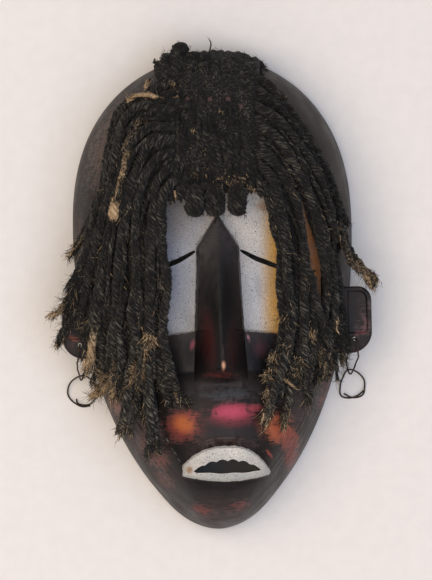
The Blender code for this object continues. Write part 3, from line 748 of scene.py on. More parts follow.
@dataclass(frozen=True)
class MattedHair:
    """Plaited fibre gone to felt: dusty, dull, near black, tan where its dye has worn off.

    Fine fibre scatters light, so it has no gloss, only a soft sheen at grazing angles. Real
    fibre is 0.1 mm thick and would not show, so its streaks are drawn five times coarser.
    """

    name: str = "matted_plaited_fibre"
    deep: str = "#0e0c0b"
    dusty: str = "#6f6a5e"
    bleached: str = "#dcbf95"
    bleached_dark: str = "#7a5c3f"
    felt_mm: float = 1.5
    cloud_mm: tuple[float, float, float] = (9.0, 14.0, 9.0)
    fibre_mm: tuple[float, float, float] = (0.5, 0.5, 7.0)
    clump_mm: tuple[float, float, float] = (1.2, 1.2, 4.5)
    fibre_depth_mm: float = 0.5
    felt_depth_mm: float = 1.3
    roughness: float = 0.92
    specular: float = 0.18
    sheen: float = 0.06
    sheen_roughness: float = 0.6

    def material(self) -> bpy.types.Material:
        """Build the hair's nodes."""
        nodes = Nodes(self.name)
        ramp, mix = nodes.ramp, nodes.mix
        strand = nodes.read("strand", "Vector")
        felt, cloud = nodes.noise(self.felt_mm, 3.0), nodes.noise(self.cloud_mm, 2.0)
        fibre, clump = nodes.noise(self.fibre_mm, 2.0, strand), nodes.noise(self.clump_mm, 3.0, strand)
        along = add_node(nodes.tree, "ShaderNodeSeparateXYZ", inputs={"Vector": nodes.coords}).outputs["Y"]
        # Dust gathers in clouds, and most of it low down
        spread = nodes.plus(ramp(cloud, 0.36, 0.62, 0.10, 0.65), ramp(along, 0.02, -0.08, 0.0, 0.7))
        dark = mix(nodes.times(ramp(clump, 0.50, 0.68), spread), self.deep, self.dusty)
        dark = mix(ramp(fibre, 0.60, 0.78, 0.0, 0.6), dark, self.dusty)
        tan = mix(ramp(fibre, 0.35, 0.65), self.bleached_dark, self.bleached)
        bleach = nodes.read("bleach")
        patchy = nodes.plus(bleach, nodes.swing(felt, 0.5, 0.8))
        share = nodes.times(ramp(patchy, 0.22, 0.62), ramp(bleach, 0.0, 0.1))
        relief = nodes.bump(fibre, self.fibre_depth_mm, nodes.bump(felt, self.felt_depth_mm))
        return nodes.finish({"Base Color": mix(share, dark, tan), "Normal": relief,
                             "Roughness": self.roughness, "Specular IOR Level": self.specular,
                             "Sheen Weight": self.sheen, "Sheen Roughness": self.sheen_roughness})


@dataclass(frozen=True)
class OldIron:
    """Mild steel, drawn or stamped, browned by rust that leaves only dull gloss."""

    name: str
    metal: str
    rust: str
    rust_share: float
    roughness: float = 0.5
    rust_roughness: float = 0.85
    pit: str = "#17110e"
    pit_mm: float = 0.5
    pit_depth_mm: float = 0.08
    bloom_mm: float = 2.4

    def material(self) -> bpy.types.Material:
        """Build the iron's nodes."""
        nodes = Nodes(self.name)
        ramp, mix = nodes.ramp, nodes.mix
        bloom, pits = nodes.noise(self.bloom_mm, 4.0), nodes.noise(self.pit_mm, 2.0)
        rusty = ramp(bloom, 0.78 - self.rust_share * 0.5, 0.92 - self.rust_share * 0.5)
        colour = mix(ramp(pits, 0.3, 0.7, 0.35, 0.0), mix(rusty, self.metal, self.rust), self.pit)
        return nodes.finish({"Base Color": colour, "Metallic": ramp(rusty, 0.0, 1.0, 0.9, 0.15),
                             "Roughness": ramp(rusty, 0.0, 1.0, self.roughness, self.rust_roughness),
                             "Normal": nodes.bump(pits, self.pit_depth_mm)})


@dataclass(frozen=True)
class MattPlaster:
    """The pale floor: matt plaster with faint trowel marks and no gloss."""

    name: str = "matt_plaster_floor"
    shade: str = "#e9e4de"
    light: str = "#ece7e1"
    trowel_mm: float = 9.0
    trowel_depth_mm: float = 0.35
    roughness: float = 0.95
    specular: float = 0.1

    def material(self) -> bpy.types.Material:
        """Build the floor's nodes."""
        nodes = Nodes(self.name)
        trowel = nodes.noise(self.trowel_mm, 4.0)
        colour = nodes.mix(nodes.ramp(trowel, 0.3, 0.7), self.shade, self.light)
        return nodes.finish({"Base Color": colour, "Normal": nodes.bump(trowel, self.trowel_depth_mm),
                             "Roughness": self.roughness, "Specular IOR Level": self.specular})


# The carved body


@dataclass(frozen=True)
class Patch:
    """A soft place where the stain or the paint changes colour, or where light or shade is painted; sizes in
    millimetres.
    """

    x: float
    y: float
    wide: float
    tall: float
    turn: float
    colour: str
    strength: float

    def share(self, x: Array, y: Array) -> Array:
        """How strongly the patch shows at places of the plan.

        Args:
            x: places across, in metres.
            y: places along, in metres.

        Returns:
            From 0 outside to the patch's strength at its middle.
        """
        angle = math.radians(self.turn)
        dx, dy = x / MM - self.x, y / MM - self.y
        along = (dx * math.cos(angle) + dy * math.sin(angle)) / self.wide
        across = (dy * math.cos(angle) - dx * math.sin(angle)) / self.tall
        return self.strength * ease(1.0, 0.15, np.hypot(along, across))


@dataclass
class CarvedBody:
    """The carved block: face, ears, pierced slits and mouth, hollow back."""

    face: Face = FACE
    columns: int = 226
    rows: int = 376
    crown_rows: float = 0.33
    inner_column: float = 0.17
    outer_column: float = 0.19
    before_foot: float = 0.006
    past_foot: float = 0.010
    scallop: float = 0.0014
    mouth_wave: float = 0.0012
    gouge_depth: float = 0.0006
    slit_width: float = 0.0032
    slit_inner: float = 0.160
    slit_outer: float = 0.700
    slit_start: float = -0.0706
    slit_droop: float = -0.0751
    ear_level: float = -0.310
    ear_root: float = 0.74
    ear_height: float = 0.045
    ear_overhang: float = 0.0155
    ear_thickness: float = 0.018
    ear_front: float = 0.045
    ear_rim: float = 0.0028
    ear_dish: float = 0.0035
    ear_rounding: float = 0.0016
    dish_rounding: float = 0.0014
    lobe_hole: float = 0.0016
    lobe_hole_to_tip: float = 0.0095
    lobe_hole_inset: float = 0.0117
    patches: tuple[Patch, ...] = (
        Patch(0, 60, 80, 55, 0, "#211e1f", 0.3),
        Patch(0, -45, 26, 78, 0, "#0c0909", 1),
        Patch(0, -85, 42, 26, 0, "#110d0d", 0.8),
        Patch(-25, -88, 26, 36, 0, "#0a090a", 1),
        Patch(30, -90, 28, 36, 0, "#0c0a0b", 1),
        Patch(2, -134, 52, 22, 0, "#1d1618", 0.8),
        # Painted light: the left side of the forehead is lighter and browner where light falls from the left,
        # and the strip on the left rim is a painted warm highlight
        Patch(-66, 60, 54, 90, 20, "#5c4a40", 0.75),
        Patch(-93, -10, 8, 60, 0, "#7d5f4c", 0.6),
        Patch(50, -118, 26, 30, 0, "#3d2c2b", 0.6),
        Patch(-52, -140, 24, 28, 0, "#4a3531", 0.65),
        Patch(0, -192, 40, 16, 0, "#3c2c2a", 0.6),
        # The red, pink and orange patches on the muzzle are worn red stain, made brighter as a painted
        # highlight where light falls on the muzzle's bulge
        Patch(7, -123.5, 26, 12.5, 0, "#7c313b", 1),
        Patch(6, -122.5, 20, 7, 0, "#b2445a", 0.9),
        Patch(22, -120.5, 9, 6, 10, "#8e3a40", 0.7),
        Patch(-26.5, -131, 19, 19, -20, "#6d302a", 1),
        Patch(-26, -130, 11, 9, -25, "#a8592f", 0.95),
        Patch(-20, -124, 7, 6, 0, "#8d3f38", 0.6),
        Patch(39, -136, 21, 15, -35, "#b5603f", 1),
        Patch(46, -143, 18, 13, -60, "#80392f", 0.85),
        Patch(49, -156, 20, 12, -75, "#733731", 0.85),
        Patch(-72, -116, 20, 11, -60, "#7f5547", 0.9),
        Patch(77, -113, 26, 14, 62, "#73403a", 0.9),
        Patch(-44, -150, 20, 11, -60, "#744038", 0.85),
        Patch(-38, -168, 16, 8, -50, "#5e3833", 0.7),
        Patch(-14, -188.5, 13, 6.5, -20, "#6d3530", 0.85),
        Patch(12, -186, 13, 6.5, 15, "#6d3936", 0.75),
        Patch(24, -196, 12, 5, 30, "#5e3c34", 0.7),
        Patch(-8.5, -74, 7, 30, 4, "#3d1817", 0.75),
        Patch(7.5, -80, 7, 26, -6, "#2f1616", 0.7),
        Patch(0.8, -91.5, 1.7, 4.5, 0, "#d9a684", 1),
        Patch(0.5, -83, 0.5, 10, 0, "#8a6e64", 0.55),
        Patch(-1, -98, 15, 3.6, 0, "#5c2926", 0.7),
        Patch(19, -73, 1.3, 5, 15, "#a8757c", 0.95),
        Patch(-18.5, -77, 2.4, 5.5, -15, "#7c3d48", 0.8),
        Patch(27, -80, 7, 10, 0, "#3f2429", 0.7),
        # A painted sheen: a blue-grey band for the light's reflection on the muzzle's top below the nose
        Patch(2, -111, 32, 8, 0, "#33373a", 0.75),
        Patch(-22.6, -160.5, 3, 3.6, 0, "#a5805f", 1),
        Patch(31.5, -151.5, 1.8, 6.5, 38, "#8e3c33", 0.9),
        Patch(34, 22, 6, 14, 10, "#6d3a33", 0.9),
        Patch(-98, -72, 7, 7, 0, "#84503f", 0.9),
        Patch(97, -63, 9, 24, 0, "#6b4a4d", 0.9),
        Patch(99, -74, 4, 6, 0, "#7a4448", 0.8),
        Patch(103.5, -60, 2, 26, 0, "#5f4f4c", 0.7),
    )
    tints: tuple[Patch, ...] = (
        # Painted shade and painted cool light: the left panel greyed and blued, darker at its top under the
        # hair
        Patch(-30, -25, 34, 80, 0, "#a3a7b0", 1),
        Patch(-30, 12, 34, 32, 0, "#858383", 1),
        Patch(24, -45, 12, 44, 0, "#c9cacc", 0.9),
        Patch(-20, -60, 6, 12, 20, "#98999c", 0.6),
        Patch(27, -40, 4, 14, 10, "#a5a6a8", 0.6),
        # Painted warm light: yellow and orange strips down the right panel's outer part, where the warm light
        # from the left falls past the nose
        Patch(40.5, -30, 15, 130, -1.5, "#dcaa58", 1),
        Patch(56, -22, 10, 80, 0, "#dc9850", 1),
        Patch(65, -22, 11, 80, 0, "#c9803f", 1),
        Patch(61, -24, 5, 5, 0, "#5c1f18", 0.7),
        Patch(-14, 14, 9, 5, 0, "#8d7460", 0.8),
        Patch(-2, 11.5, 7, 5, 0, "#b58d70", 0.8),
        Patch(13, 14, 9, 4.5, 0, "#b19473", 0.8),
        Patch(32, 15, 9, 5, 0, "#b08a6c", 0.8),
        Patch(3, -150, 34, 9, 0, "#e0dbd1", 1),
        Patch(0, -166, 34, 4, 0, "#bdbdb6", 1),
        Patch(-22.8, -161, 3.4, 4, 0, "#a98560", 1),
    )
    white: str = "#d4cec6"
    patina_ground: str = "#3a3231"
    furrow_rub: str = "#553c32"

    def build(self) -> Item:
        """Make the whole carved body.

        Returns:
            The body, in the mask's own frame.
        """
        body = self._front()
        low = 0.3 * self.face.dome
        cuts: list[tuple[Item, str]] = []
        for side in Side:
            cuts += self._ear(side)
            slit = [(side.value * x, y) for x, y in self._slit()]
            cuts.append((flat_outline("slit_tool", slit, low, self.face.tip_depth, 0.0), "DIFFERENCE"))
        cuts.append((self._hollow(), "DIFFERENCE"))
        mouth = flat_outline("mouth_tool", self._mouth(), low, 1.5 * self.face.dome, 0.0)
        cuts.append((mouth, "DIFFERENCE"))
        for tool, operation in cuts:
            modifier = body.modifiers.new(tool.name, "BOOLEAN")
            modifier.operation = operation
            modifier.solver = "EXACT"
            modifier.object = tool
        apply_modifiers(body)
        for tool, _ in cuts:
            bpy.data.objects.remove(tool, do_unlink=True)
        self._store_fields(body.data)
        return body

    def _front(self) -> Item:
        """The carved front as a closed dome over a flat floor."""
        deselect_all()
        bpy.ops.mesh.primitive_grid_add(x_subdivisions=self.columns, y_subdivisions=self.rows, size=2.0)
        body = bpy.context.object
        body.name = body.data.name = "carved_mask"
        grid = get_places(body.data)
        step = 0.5 * (grid[:, 1] + 1.0)
        lower = 1.0 - self.crown_rows
        share = np.where(step >= lower, (step - lower) / self.crown_rows, (lower - step) / lower)
        along = rim_crowded(share) * np.where(step >= lower, 1.0, -1.0)
        across = self._columns_along_the_nose(grid[:, 0], along)
        side = np.abs(across) * self.face.half_width(along) / self.face.half
        drop = self.face.as_drop(along)
        near_foot = ease(0.35, 0.0, np.abs(drop - self.face.panel_foot))
        along = np.where(along < 0.0, along + self.face.foot_slope * side * near_foot, along)
        x = across * self.face.half_width(along)
        y = along * self.face.reach(along)
        places = np.stack([x, y, self.face.carved_height(across, along)], axis=1)
        places[:, 2] += self._fine_relief(places, across, along)
        places[:, 2] = np.where(np.abs(across) > 0.9999, 0.0, np.maximum(places[:, 2], 0.0))
        set_places(body.data, places)
        close_dome(body)
        return body

    def _columns_along_the_nose(self, steps: Array, along: Array) -> Array:
        """Bend the grid's columns so that two of them run along the nose's foot.

        Args:
            steps: the grid's x, from -1 to 1.
            along: each point's share of the way to the crown or chin.

        Returns:
            Each point's share of the local half width.
        """
        face = self.face
        local = face.half_width(along) / face.half
        drop = face.as_drop(along)
        foot = np.maximum(np.where(drop < face.nose_root, face.panel_inner(drop), 0.0), 0.03)
        foot = np.where(drop > face.nose_root, 0.03 + 0.10 * ease(face.nose_root, 0.35, drop), foot)
        foot = np.minimum(foot, 0.55 * local)
        size = np.abs(steps)
        inner, outer = self.inner_column, self.outer_column
        near = (foot - self.before_foot) * size / inner
        step = self.before_foot + self.past_foot
        wall = foot - self.before_foot + step * (size - inner) / (outer - inner)
        share = np.clip((size - outer) / (1.0 - outer), 0.0, 1.0)
        closing = rim_crowded(share)
        far = foot + self.past_foot + (local - foot - self.past_foot) * closing
        side = np.where(size < inner, near, np.where(size < outer, wall, far))
        side = np.minimum(side, local)
        return np.sign(steps) * side / np.maximum(local, 1e-9) * (local > 1e-7)

    def _fine_relief(self, places: Array, across: Array, along: Array) -> Array:
        """Tool facets, furrows over the lip, jaw grooves and a wavy lip edge.

        Args:
            places: rows of x, y, z on the carved front.
            across: share of the local half width.
            along: share of the way to the crown or chin.

        Returns:
            How much each point rises.
        """
        face = self.face
        x, y = places[:, 0], places[:, 1]
        side = np.abs(x) / face.half
        drop = y / face.chin
        flat = np.stack([x, 0.6 * y, 0.0 * x], axis=1)
        rise = 0.25 * MM * layered_noise(flat, 9.0 * MM, 3) * ease(1.0, 0.8, np.abs(across))
        rise += 0.10 * MM * lattice_noise(flat, 2.2 * MM, 5)
        lip_side, crest, foot = face.lip_edges(x / face.half)
        above = (drop - crest) * face.chin
        inside_lip = ease(1.05, 0.9, lip_side / face.lip_half)
        for offset, depth in ((1.4, 0.8), (3.5, 0.7), (5.6, 0.5)):
            rise -= depth * MM * inside_lip * np.exp(-((above - offset * MM) / (0.55 * MM)) ** 2)
        rise += 0.6 * MM * face.lip_rise(x / face.half, drop) * layered_noise(flat, 4.5 * MM, 8)
        below = (foot - drop) * face.chin
        rise -= 0.5 * MM * inside_lip * np.exp(-((below - 1.2 * MM) / (0.8 * MM)) ** 2)
        for line in range(3):
            inset = (7.0 + 3.4 * line) * MM
            near_x = face.half_width(along) - inset - 6.0 * MM * ease(-0.60, -0.85, along)
            shown = ease(-0.56, -0.61, along) * ease(-0.84, -0.78, along)
            rise -= 0.55 * MM * shown * np.exp(-((np.abs(x) - near_x) / (0.5 * MM)) ** 2)
        fold = np.exp(-((drop - face.tip_line(side)) * face.chin / (0.9 * MM)) ** 2)
        return rise + 0.3 * MM * fold * ease(face.tip_width, 0.15, side)

    def _ear(self, side: Side) -> list[tuple[Item, str]]:
        """The tools that add one ear and cut its dish and lobe hole.

        Args:
            side: which ear.

        Returns:
            Pairs of tool and operation.
        """
        outer, middle = self.ear_edges()
        low, high = middle - 0.5 * self.ear_height, middle + 0.5 * self.ear_height
        root = self.ear_root * self.face.half

        def rounded(inner: float, edge: float, foot: float, top: float, low_r: float,
                    high_r: float) -> list[Plan]:
            points = [(inner, foot)]
            for angle in np.linspace(-0.5 * math.pi, 0.0, 14):
                px, py = edge - low_r * (1.0 - math.cos(angle)), foot + low_r * (1.0 + math.sin(angle))
                points.append((px, py))
            for angle in np.linspace(0.0, 0.5 * math.pi, 12):
                px, py = edge - high_r * (1.0 - math.cos(angle)), top - high_r * (1.0 - math.sin(angle))
                points.append((px, py))
            points.append((inner, top))
            return [(side.value * px, py) for px, py in points]

        height = self.ear_height
        blank = rounded(root, outer, low, high, 0.33 * height, 0.20 * height)
        dish = rounded(outer - 0.36 * height, outer - self.ear_rim, low + 0.29 * height, high - self.ear_rim,
                       0.08 * height, 0.20 * height - self.ear_rim)
        hole_x, hole_y = self.lobe_hole_place()
        ring = [(side.value * hole_x + self.lobe_hole * math.cos(a), hole_y + self.lobe_hole * math.sin(a))
                for a in np.linspace(0.0, 2.0 * math.pi, 20, endpoint=False)]
        front, back = self.ear_front, self.ear_front - self.ear_thickness
        low_dish, high_dish = front - self.ear_dish, front + self.ear_dish
        past = self.ear_thickness
        return [
            (flat_outline("ear_tool", blank, back, front, self.ear_rounding), "UNION"),
            (flat_outline("dish_tool", dish, low_dish, high_dish, self.dish_rounding), "DIFFERENCE"),
            (flat_outline("lobe_tool", ring, back - past, front + past, 0.0), "DIFFERENCE"),
        ]

    def ear_edges(self) -> Plan:
        """The right ear's outer edge and its middle's place along the face."""
        outer = float(self.face.half_width(np.array(self.ear_level))) + self.ear_overhang
        return outer, self.ear_level * self.face.chin

    def lobe_hole_place(self) -> Plan:
        """Middle of the right lobe's hole."""
        outer, middle = self.ear_edges()
        return outer - self.lobe_hole_inset, middle - 0.5 * self.ear_height + self.lobe_hole_to_tip

    def _slit(self) -> list[Plan]:
        """Outline of the right eye slit, a thin cut that droops outward."""
        share = np.linspace(0.0, 1.0, 33)
        across = (self.slit_inner + (self.slit_outer - self.slit_inner) * share) * self.face.half
        drop = (self.slit_start + self.slit_droop * (1.0 - (1.0 - share) ** 2)) * self.face.chin
        half = 0.58 * self.slit_width * (0.30 + 0.70 * np.sin(math.pi * share ** 0.55))
        wobble = 0.25 * MM * np.sin(23.0 * share) * np.sin(math.pi * share)
        upper = list(zip(across.tolist(), (drop + half + wobble).tolist()))
        lower = list(zip(across.tolist(), (drop - half + 0.6 * wobble).tolist()))
        return lower + upper[::-1]

    def _mouth(self) -> list[Plan]:
        """Outline of the mouth, with its scalloped upper edge and wavy lower one."""
        face = self.face
        top, bottom = [], []
        for share in np.linspace(1.0, -1.0, 61):
            corner = abs(share)
            scallop = self.scallop / face.chin * abs(math.sin(3.0 * math.pi * (share + 1.0)))
            drop = face.mouth_crest + face.mouth_corner_drop * corner ** 2.2 + scallop * (1.0 - corner ** 4)
            top.append(((share * face.mouth_half + face.lip_offset) * face.half, drop * face.chin))
        for share in np.linspace(-1.0, 1.0, 33)[1:-1]:
            drop = face.mouth_foot + 0.006 * share ** 2 + self.mouth_wave * math.sin(9.0 * share)
            bottom.append(((share * face.mouth_half + face.lip_offset) * face.half, drop * face.chin))
        return bottom + top

    def _hollow(self) -> Item:
        """The tool that hollows the back out, with shallow gouge marks."""
        deselect_all()
        bpy.ops.mesh.primitive_grid_add(x_subdivisions=64, y_subdivisions=96, size=2.0)
        tool = bpy.context.object
        tool.name = "hollow_tool"
        grid = get_places(tool.data)
        across, along = rim_crowded(grid[:, 0]), rim_crowded(grid[:, 1])
        inset = self.face.side_wall
        x = across * self.face.half_width(along, inset)
        y = along * self.face.reach(along, inset)
        z = self.face.hollow_height(across, along)
        gouges = lattice_noise(np.stack([x, 0.4 * y, 0.0 * x], axis=1), 9.0 * MM, 21)
        rim = (np.abs(across) > 0.9999) | (np.abs(along) > 0.9999)
        z = np.where(rim, 0.0, z - self.gouge_depth * np.abs(gouges) * ease(1.0, 0.85, np.abs(across)))
        set_places(tool.data, np.stack([x, y, np.maximum(z, 0.0)], axis=1))
        close_dome(tool, 0.5 * self.face.front_wall)
        return tool

    def _store_fields(self, mesh: bpy.types.Mesh) -> None:
        """Store where the paint, the worn places, the bare wood and the painted light are.

        Args:
            mesh: the finished body's mesh, in the mask's own frame.
        """
        face = self.face
        places = get_places(mesh)
        x, y, z = places.T
        side, drop = np.abs(x) / face.half, y / face.chin
        inner = face.panel_inner(drop)
        foot = face.panel_foot + face.foot_slope * side
        panel = np.minimum.reduce([(side - inner) * face.half - 0.7 * MM, (drop - foot) * face.chin,
                                   (face.panel_top - drop) * face.chin, (0.74 - side) * face.half])
        lip_side, crest, lip_foot = face.lip_edges(x / face.half)
        lips = np.minimum.reduce([(crest - drop) * face.chin, (drop - lip_foot) * face.chin,
                                  (face.lip_half - lip_side) * face.half])
        set_field(mesh, "paint_mm", np.maximum(panel, lips) / MM)
        surface = face.height_at(x, y)
        gap = 1.6 * MM
        around = [face.height_at(x + gap * dx, y + gap * dy) for dx, dy in ((1, 0), (-1, 0), (0, 1), (0, -1))]
        set_field(mesh, "depth_mm", (np.minimum.reduce([surface, *around]) - z) / MM)
        bulge = (surface - np.mean(around, axis=0)) / MM
        edge = face.half_width(np.clip(y / face.reach(y), -1.0, 1.0))
        skin = (np.abs(surface - z) < 0.8 * MM) & (np.abs(x) < 0.95 * edge)
        set_field(mesh, "wear", ease(0.45, 1.5, bulge) * skin * 0.35)
        # Stain and wear patches, with painted light among them: a lighter left side and rim, a sheen and
        # highlights on the muzzle
        patina = self._blend(self.patches, x, y, self.patina_ground)
        # A patch is laid from the front, so it would run down the steep sides as stripes
        patina[:, 3] *= 0.35 + 0.65 * ease(0.012, 0.042, z)
        above = (drop - crest) * face.chin / MM
        stripes = 0.5 - 0.5 * np.cos(2.0 * math.pi * above / 2.1)
        furrow = 0.5 * stripes * ease(0.2, 0.8, above) * ease(7.0, 5.0, above)
        furrow = furrow * ease(1.05, 0.85, lip_side / face.lip_half)
        patina[:, :3] += (np.array(linear(self.furrow_rub)) - patina[:, :3]) * furrow[:, None]
        patina[:, 3] = np.maximum(patina[:, 3], furrow)
        set_field(mesh, "patina", patina)
        # The tints on the white include painted shade and cool light on the left panel and painted warm light
        # on the right one
        set_field(mesh, "paint", self._blend(self.tints, x, y, self.white))

    @staticmethod
    def _blend(patches: Sequence[Patch], x: Array, y: Array, ground: str) -> Array:
        """Lay patches over a ground colour.

        Args:
            patches: the patches, the lowest first.
            x: places across, in metres.
            y: places along, in metres.
            ground: the colour under them all.

        Returns:
            Rows of red, green, blue and the strongest patch's share.
        """
        colour = np.tile(np.array(linear(ground)), (len(x), 1))
        cover = np.zeros(len(x))
        for patch in patches:
            share = patch.share(x, y)
            colour += (np.array(linear(patch.colour)) - colour) * share[:, None]
            cover = np.maximum(cover, share)
        return np.column_stack([colour, cover])


# The hair


@dataclass
class HairBundle:
    """Collects the points and faces of one piece of hair."""

    verts: list[Array] = field(default_factory=list)
    faces: list[Array] = field(default_factory=list)
    strands: list[Array] = field(default_factory=list)
    bleach: list[Array] = field(default_factory=list)
    count: int = 0

    def add(self, verts: Array, faces: Array, strand: Array, bleach: Array) -> None:
        """Add one part, its faces numbered from its own first point."""
        self.verts.append(verts)
        self.faces.append(faces + self.count)
        self.strands.append(strand)
        self.bleach.append(bleach)
        self.count += len(verts)

    def to_object(self, name: str) -> Item:
        """Make the piece, with its fields.

        Args:
            name: the piece's name.

        Returns:
            The object, in the mask's own frame.
        """
        faces = [face for block in self.faces for face in block.tolist()]
        item = mesh_object(name, np.vstack(self.verts), faces)
        set_field(item.data, "strand", np.vstack(self.strands))
        set_field(item.data, "bleach", np.concatenate(self.bleach))
        return item


@dataclass(frozen=True)
class Plait:
    """How a plaited lock is made: its thickness, its three strands and how matted it is."""

    radius: float
    pitch: float = 0.016
    strand_count: int = 3
    crease: float = 0.17
    lumps: float = 0.30
    grit: float = 0.26
    sides: int = 18
    step: float = 0.0008
    wander: float = 0.0010

    def add_to(self, bundle: HairBundle, route: Array, swell: Sequence[float], bleach: Sequence[float],
               seed: int, blunt: bool = False) -> Array:
        """Sweep the plait along a route.

        Args:
            bundle: collects the plait.
            route: the knots of its middle line.
            swell: the thickness at even steps along it, as shares.
            bleach: how tan it is at even steps along it.
            seed: gives each plait its own lumps.
            blunt: whether both ends close in a rounded cap.

        Returns:
            The fine middle line.
        """
        line = smooth_path(route, self.step)
        drift = np.stack([lattice_noise(line, 11.0 * MM, seed + shift) for shift in (0, 3, 6)], axis=1)
        line = line + self.wander * drift * np.array([1.0, 1.0, 0.4])
        count = len(line)
        reach = self.step * np.arange(count)
        thick = spread_over(swell, count) * self.radius
        tone = spread_over(bleach, count)
        if blunt:
            ends = np.minimum(reach, reach[-1] - reach) / self.radius
            thick = thick * np.sqrt(np.clip(1.0 - (1.0 - np.clip(ends, 0.0, 1.0)) ** 2, 0.02, 1.0))
        tangent = unit(np.gradient(line, axis=0))
        first = unit(np.cross(tangent, np.array([0.0, 0.0, 1.0])))
        second = np.cross(first, tangent)
        angle = np.linspace(0.0, 2.0 * math.pi, self.sides, endpoint=False)
        turn = 2.0 * math.pi * reach / self.pitch
        phase = angle[None, :] - turn[:, None]
        ridge = np.abs(np.cos(0.5 * self.strand_count * phase)) ** 0.7
        shape = 1.0 - self.crease + 1.35 * self.crease * ridge
        direction = (np.cos(angle)[None, :, None] * first[:, None, :]
                     + np.sin(angle)[None, :, None] * second[:, None, :])
        verts = line[:, None, :] + direction * (thick[:, None] * shape)[:, :, None]
        flat = verts.reshape(-1, 3)
        lump = self.lumps * layered_noise(flat, 3.0 * MM, seed, 3)
        lump += self.grit * lattice_noise(flat, 1.1 * MM, seed + 5)
        flat = flat + direction.reshape(-1, 3) * (lump * np.repeat(thick, self.sides))[:, None]
        down = np.repeat(reach[:, None], self.sides, axis=1) + 0.37 * seed
        strand = np.stack([self.radius * np.cos(phase), self.radius * np.sin(phase), down], axis=2)
        strand = strand.reshape(-1, 3)
        ring = np.arange(self.sides)
        base = self.sides * np.arange(count - 1)[:, None]
        quads = np.stack([base + ring, base + (ring + 1) % self.sides,
                          base + self.sides + (ring + 1) % self.sides, base + self.sides + ring], axis=2)
        bundle.add(flat, quads.reshape(-1, 4), strand, np.repeat(tone, self.sides))
        for end, at in ((0, 0), (count - 1, -1)):
            cap = np.vstack([flat[self.sides * end:self.sides * (end + 1)], line[at]])
            fan = np.stack([ring, (ring + 1) % self.sides, np.full(self.sides, self.sides)], axis=1)
            if at == 0:
                fan = fan[:, ::-1]
            bundle.add(cap, fan, np.vstack([strand[self.sides * end:self.sides * (end + 1)], strand[-1]]),
                       np.full(self.sides + 1, tone[at]))
        return line


@dataclass(frozen=True)
class Fibres:
    """Loose fibres, each a thin three-sided thread that bends and tapers.

    A real fibre is a tenth of a millimetre thick and would be lost in the render, so each is
    drawn about twice as thick.
    """

    radius: float = 0.00015
    joints: int = 4
    curl: float = 0.36

    def add_to(self, bundle: HairBundle, roots: Array, heads: Array, lengths: Array, bleach: Array,
               rng: np.random.Generator, thickness: float = 1.0, floor: float = 0.0004) -> None:
        """Grow a fibre from each root.

        Args:
            bundle: collects the fibres.
            roots: rows of x, y, z.
            heads: rows of direction, of length 1.
            lengths: each fibre's length.
            bleach: how tan each fibre is.
            rng: the seeded random numbers.
            thickness: a multiple of the usual thickness.
            floor: how far above the wood the fibres are kept.
        """
        count = len(roots)
        heads = unit(heads)
        points = np.empty((count, self.joints, 3))
        points[:, 0] = roots
        bend = rng.normal(0.0, self.curl, (count, 3))
        for joint in range(1, self.joints):
            heads = unit(heads + bend * 0.5 + rng.normal(0.0, 0.5 * self.curl, (count, 3)))
            points[:, joint] = points[:, joint - 1] + heads * (lengths / (self.joints - 1))[:, None]
        flat = points.reshape(-1, 3)
        lowest = FACE.height_at(flat[:, 0], flat[:, 1]) + floor
        flat[:, 2] = np.maximum(flat[:, 2], np.maximum(lowest, floor))
        points = flat.reshape(count, self.joints, 3)
        tangent = unit(np.gradient(points, axis=1))
        steep = np.abs(tangent[:, :, 2:3]) >= 0.9
        helper = np.where(steep, np.array([1.0, 0.0, 0.0]), np.array([0.0, 0.0, 1.0]))
        first = unit(np.cross(tangent, helper))
        second = np.cross(tangent, first)
        taper = np.linspace(1.0, 0.35, self.joints) * self.radius * thickness
        rings = []
        for corner in range(3):
            angle = 2.0 * math.pi * corner / 3.0
            rings.append(points + (math.cos(angle) * first + math.sin(angle) * second) * taper[None, :, None])
        verts = np.stack(rings, axis=2).reshape(-1, 3)
        base = (3 * self.joints * np.arange(count))[:, None, None]
        base = base + (3 * np.arange(self.joints - 1))[None, :, None]
        corner = np.arange(3)[None, None, :]
        after = (corner + 1) % 3
        quads = np.stack([base + corner, base + after, base + 3 + after, base + 3 + corner], axis=3)
        number = np.repeat(rng.random(count), 3 * self.joints)
        reach = np.tile(np.repeat(np.linspace(0.0, 0.02, self.joints), 3), count)
        # Each fibre reads its own place of the streaks' pattern
        strand = np.stack([0.01 * number, 0.02 * number, reach], axis=1)
        bundle.add(verts, quads.reshape(-1, 4), strand, np.repeat(bleach, 3 * self.joints))


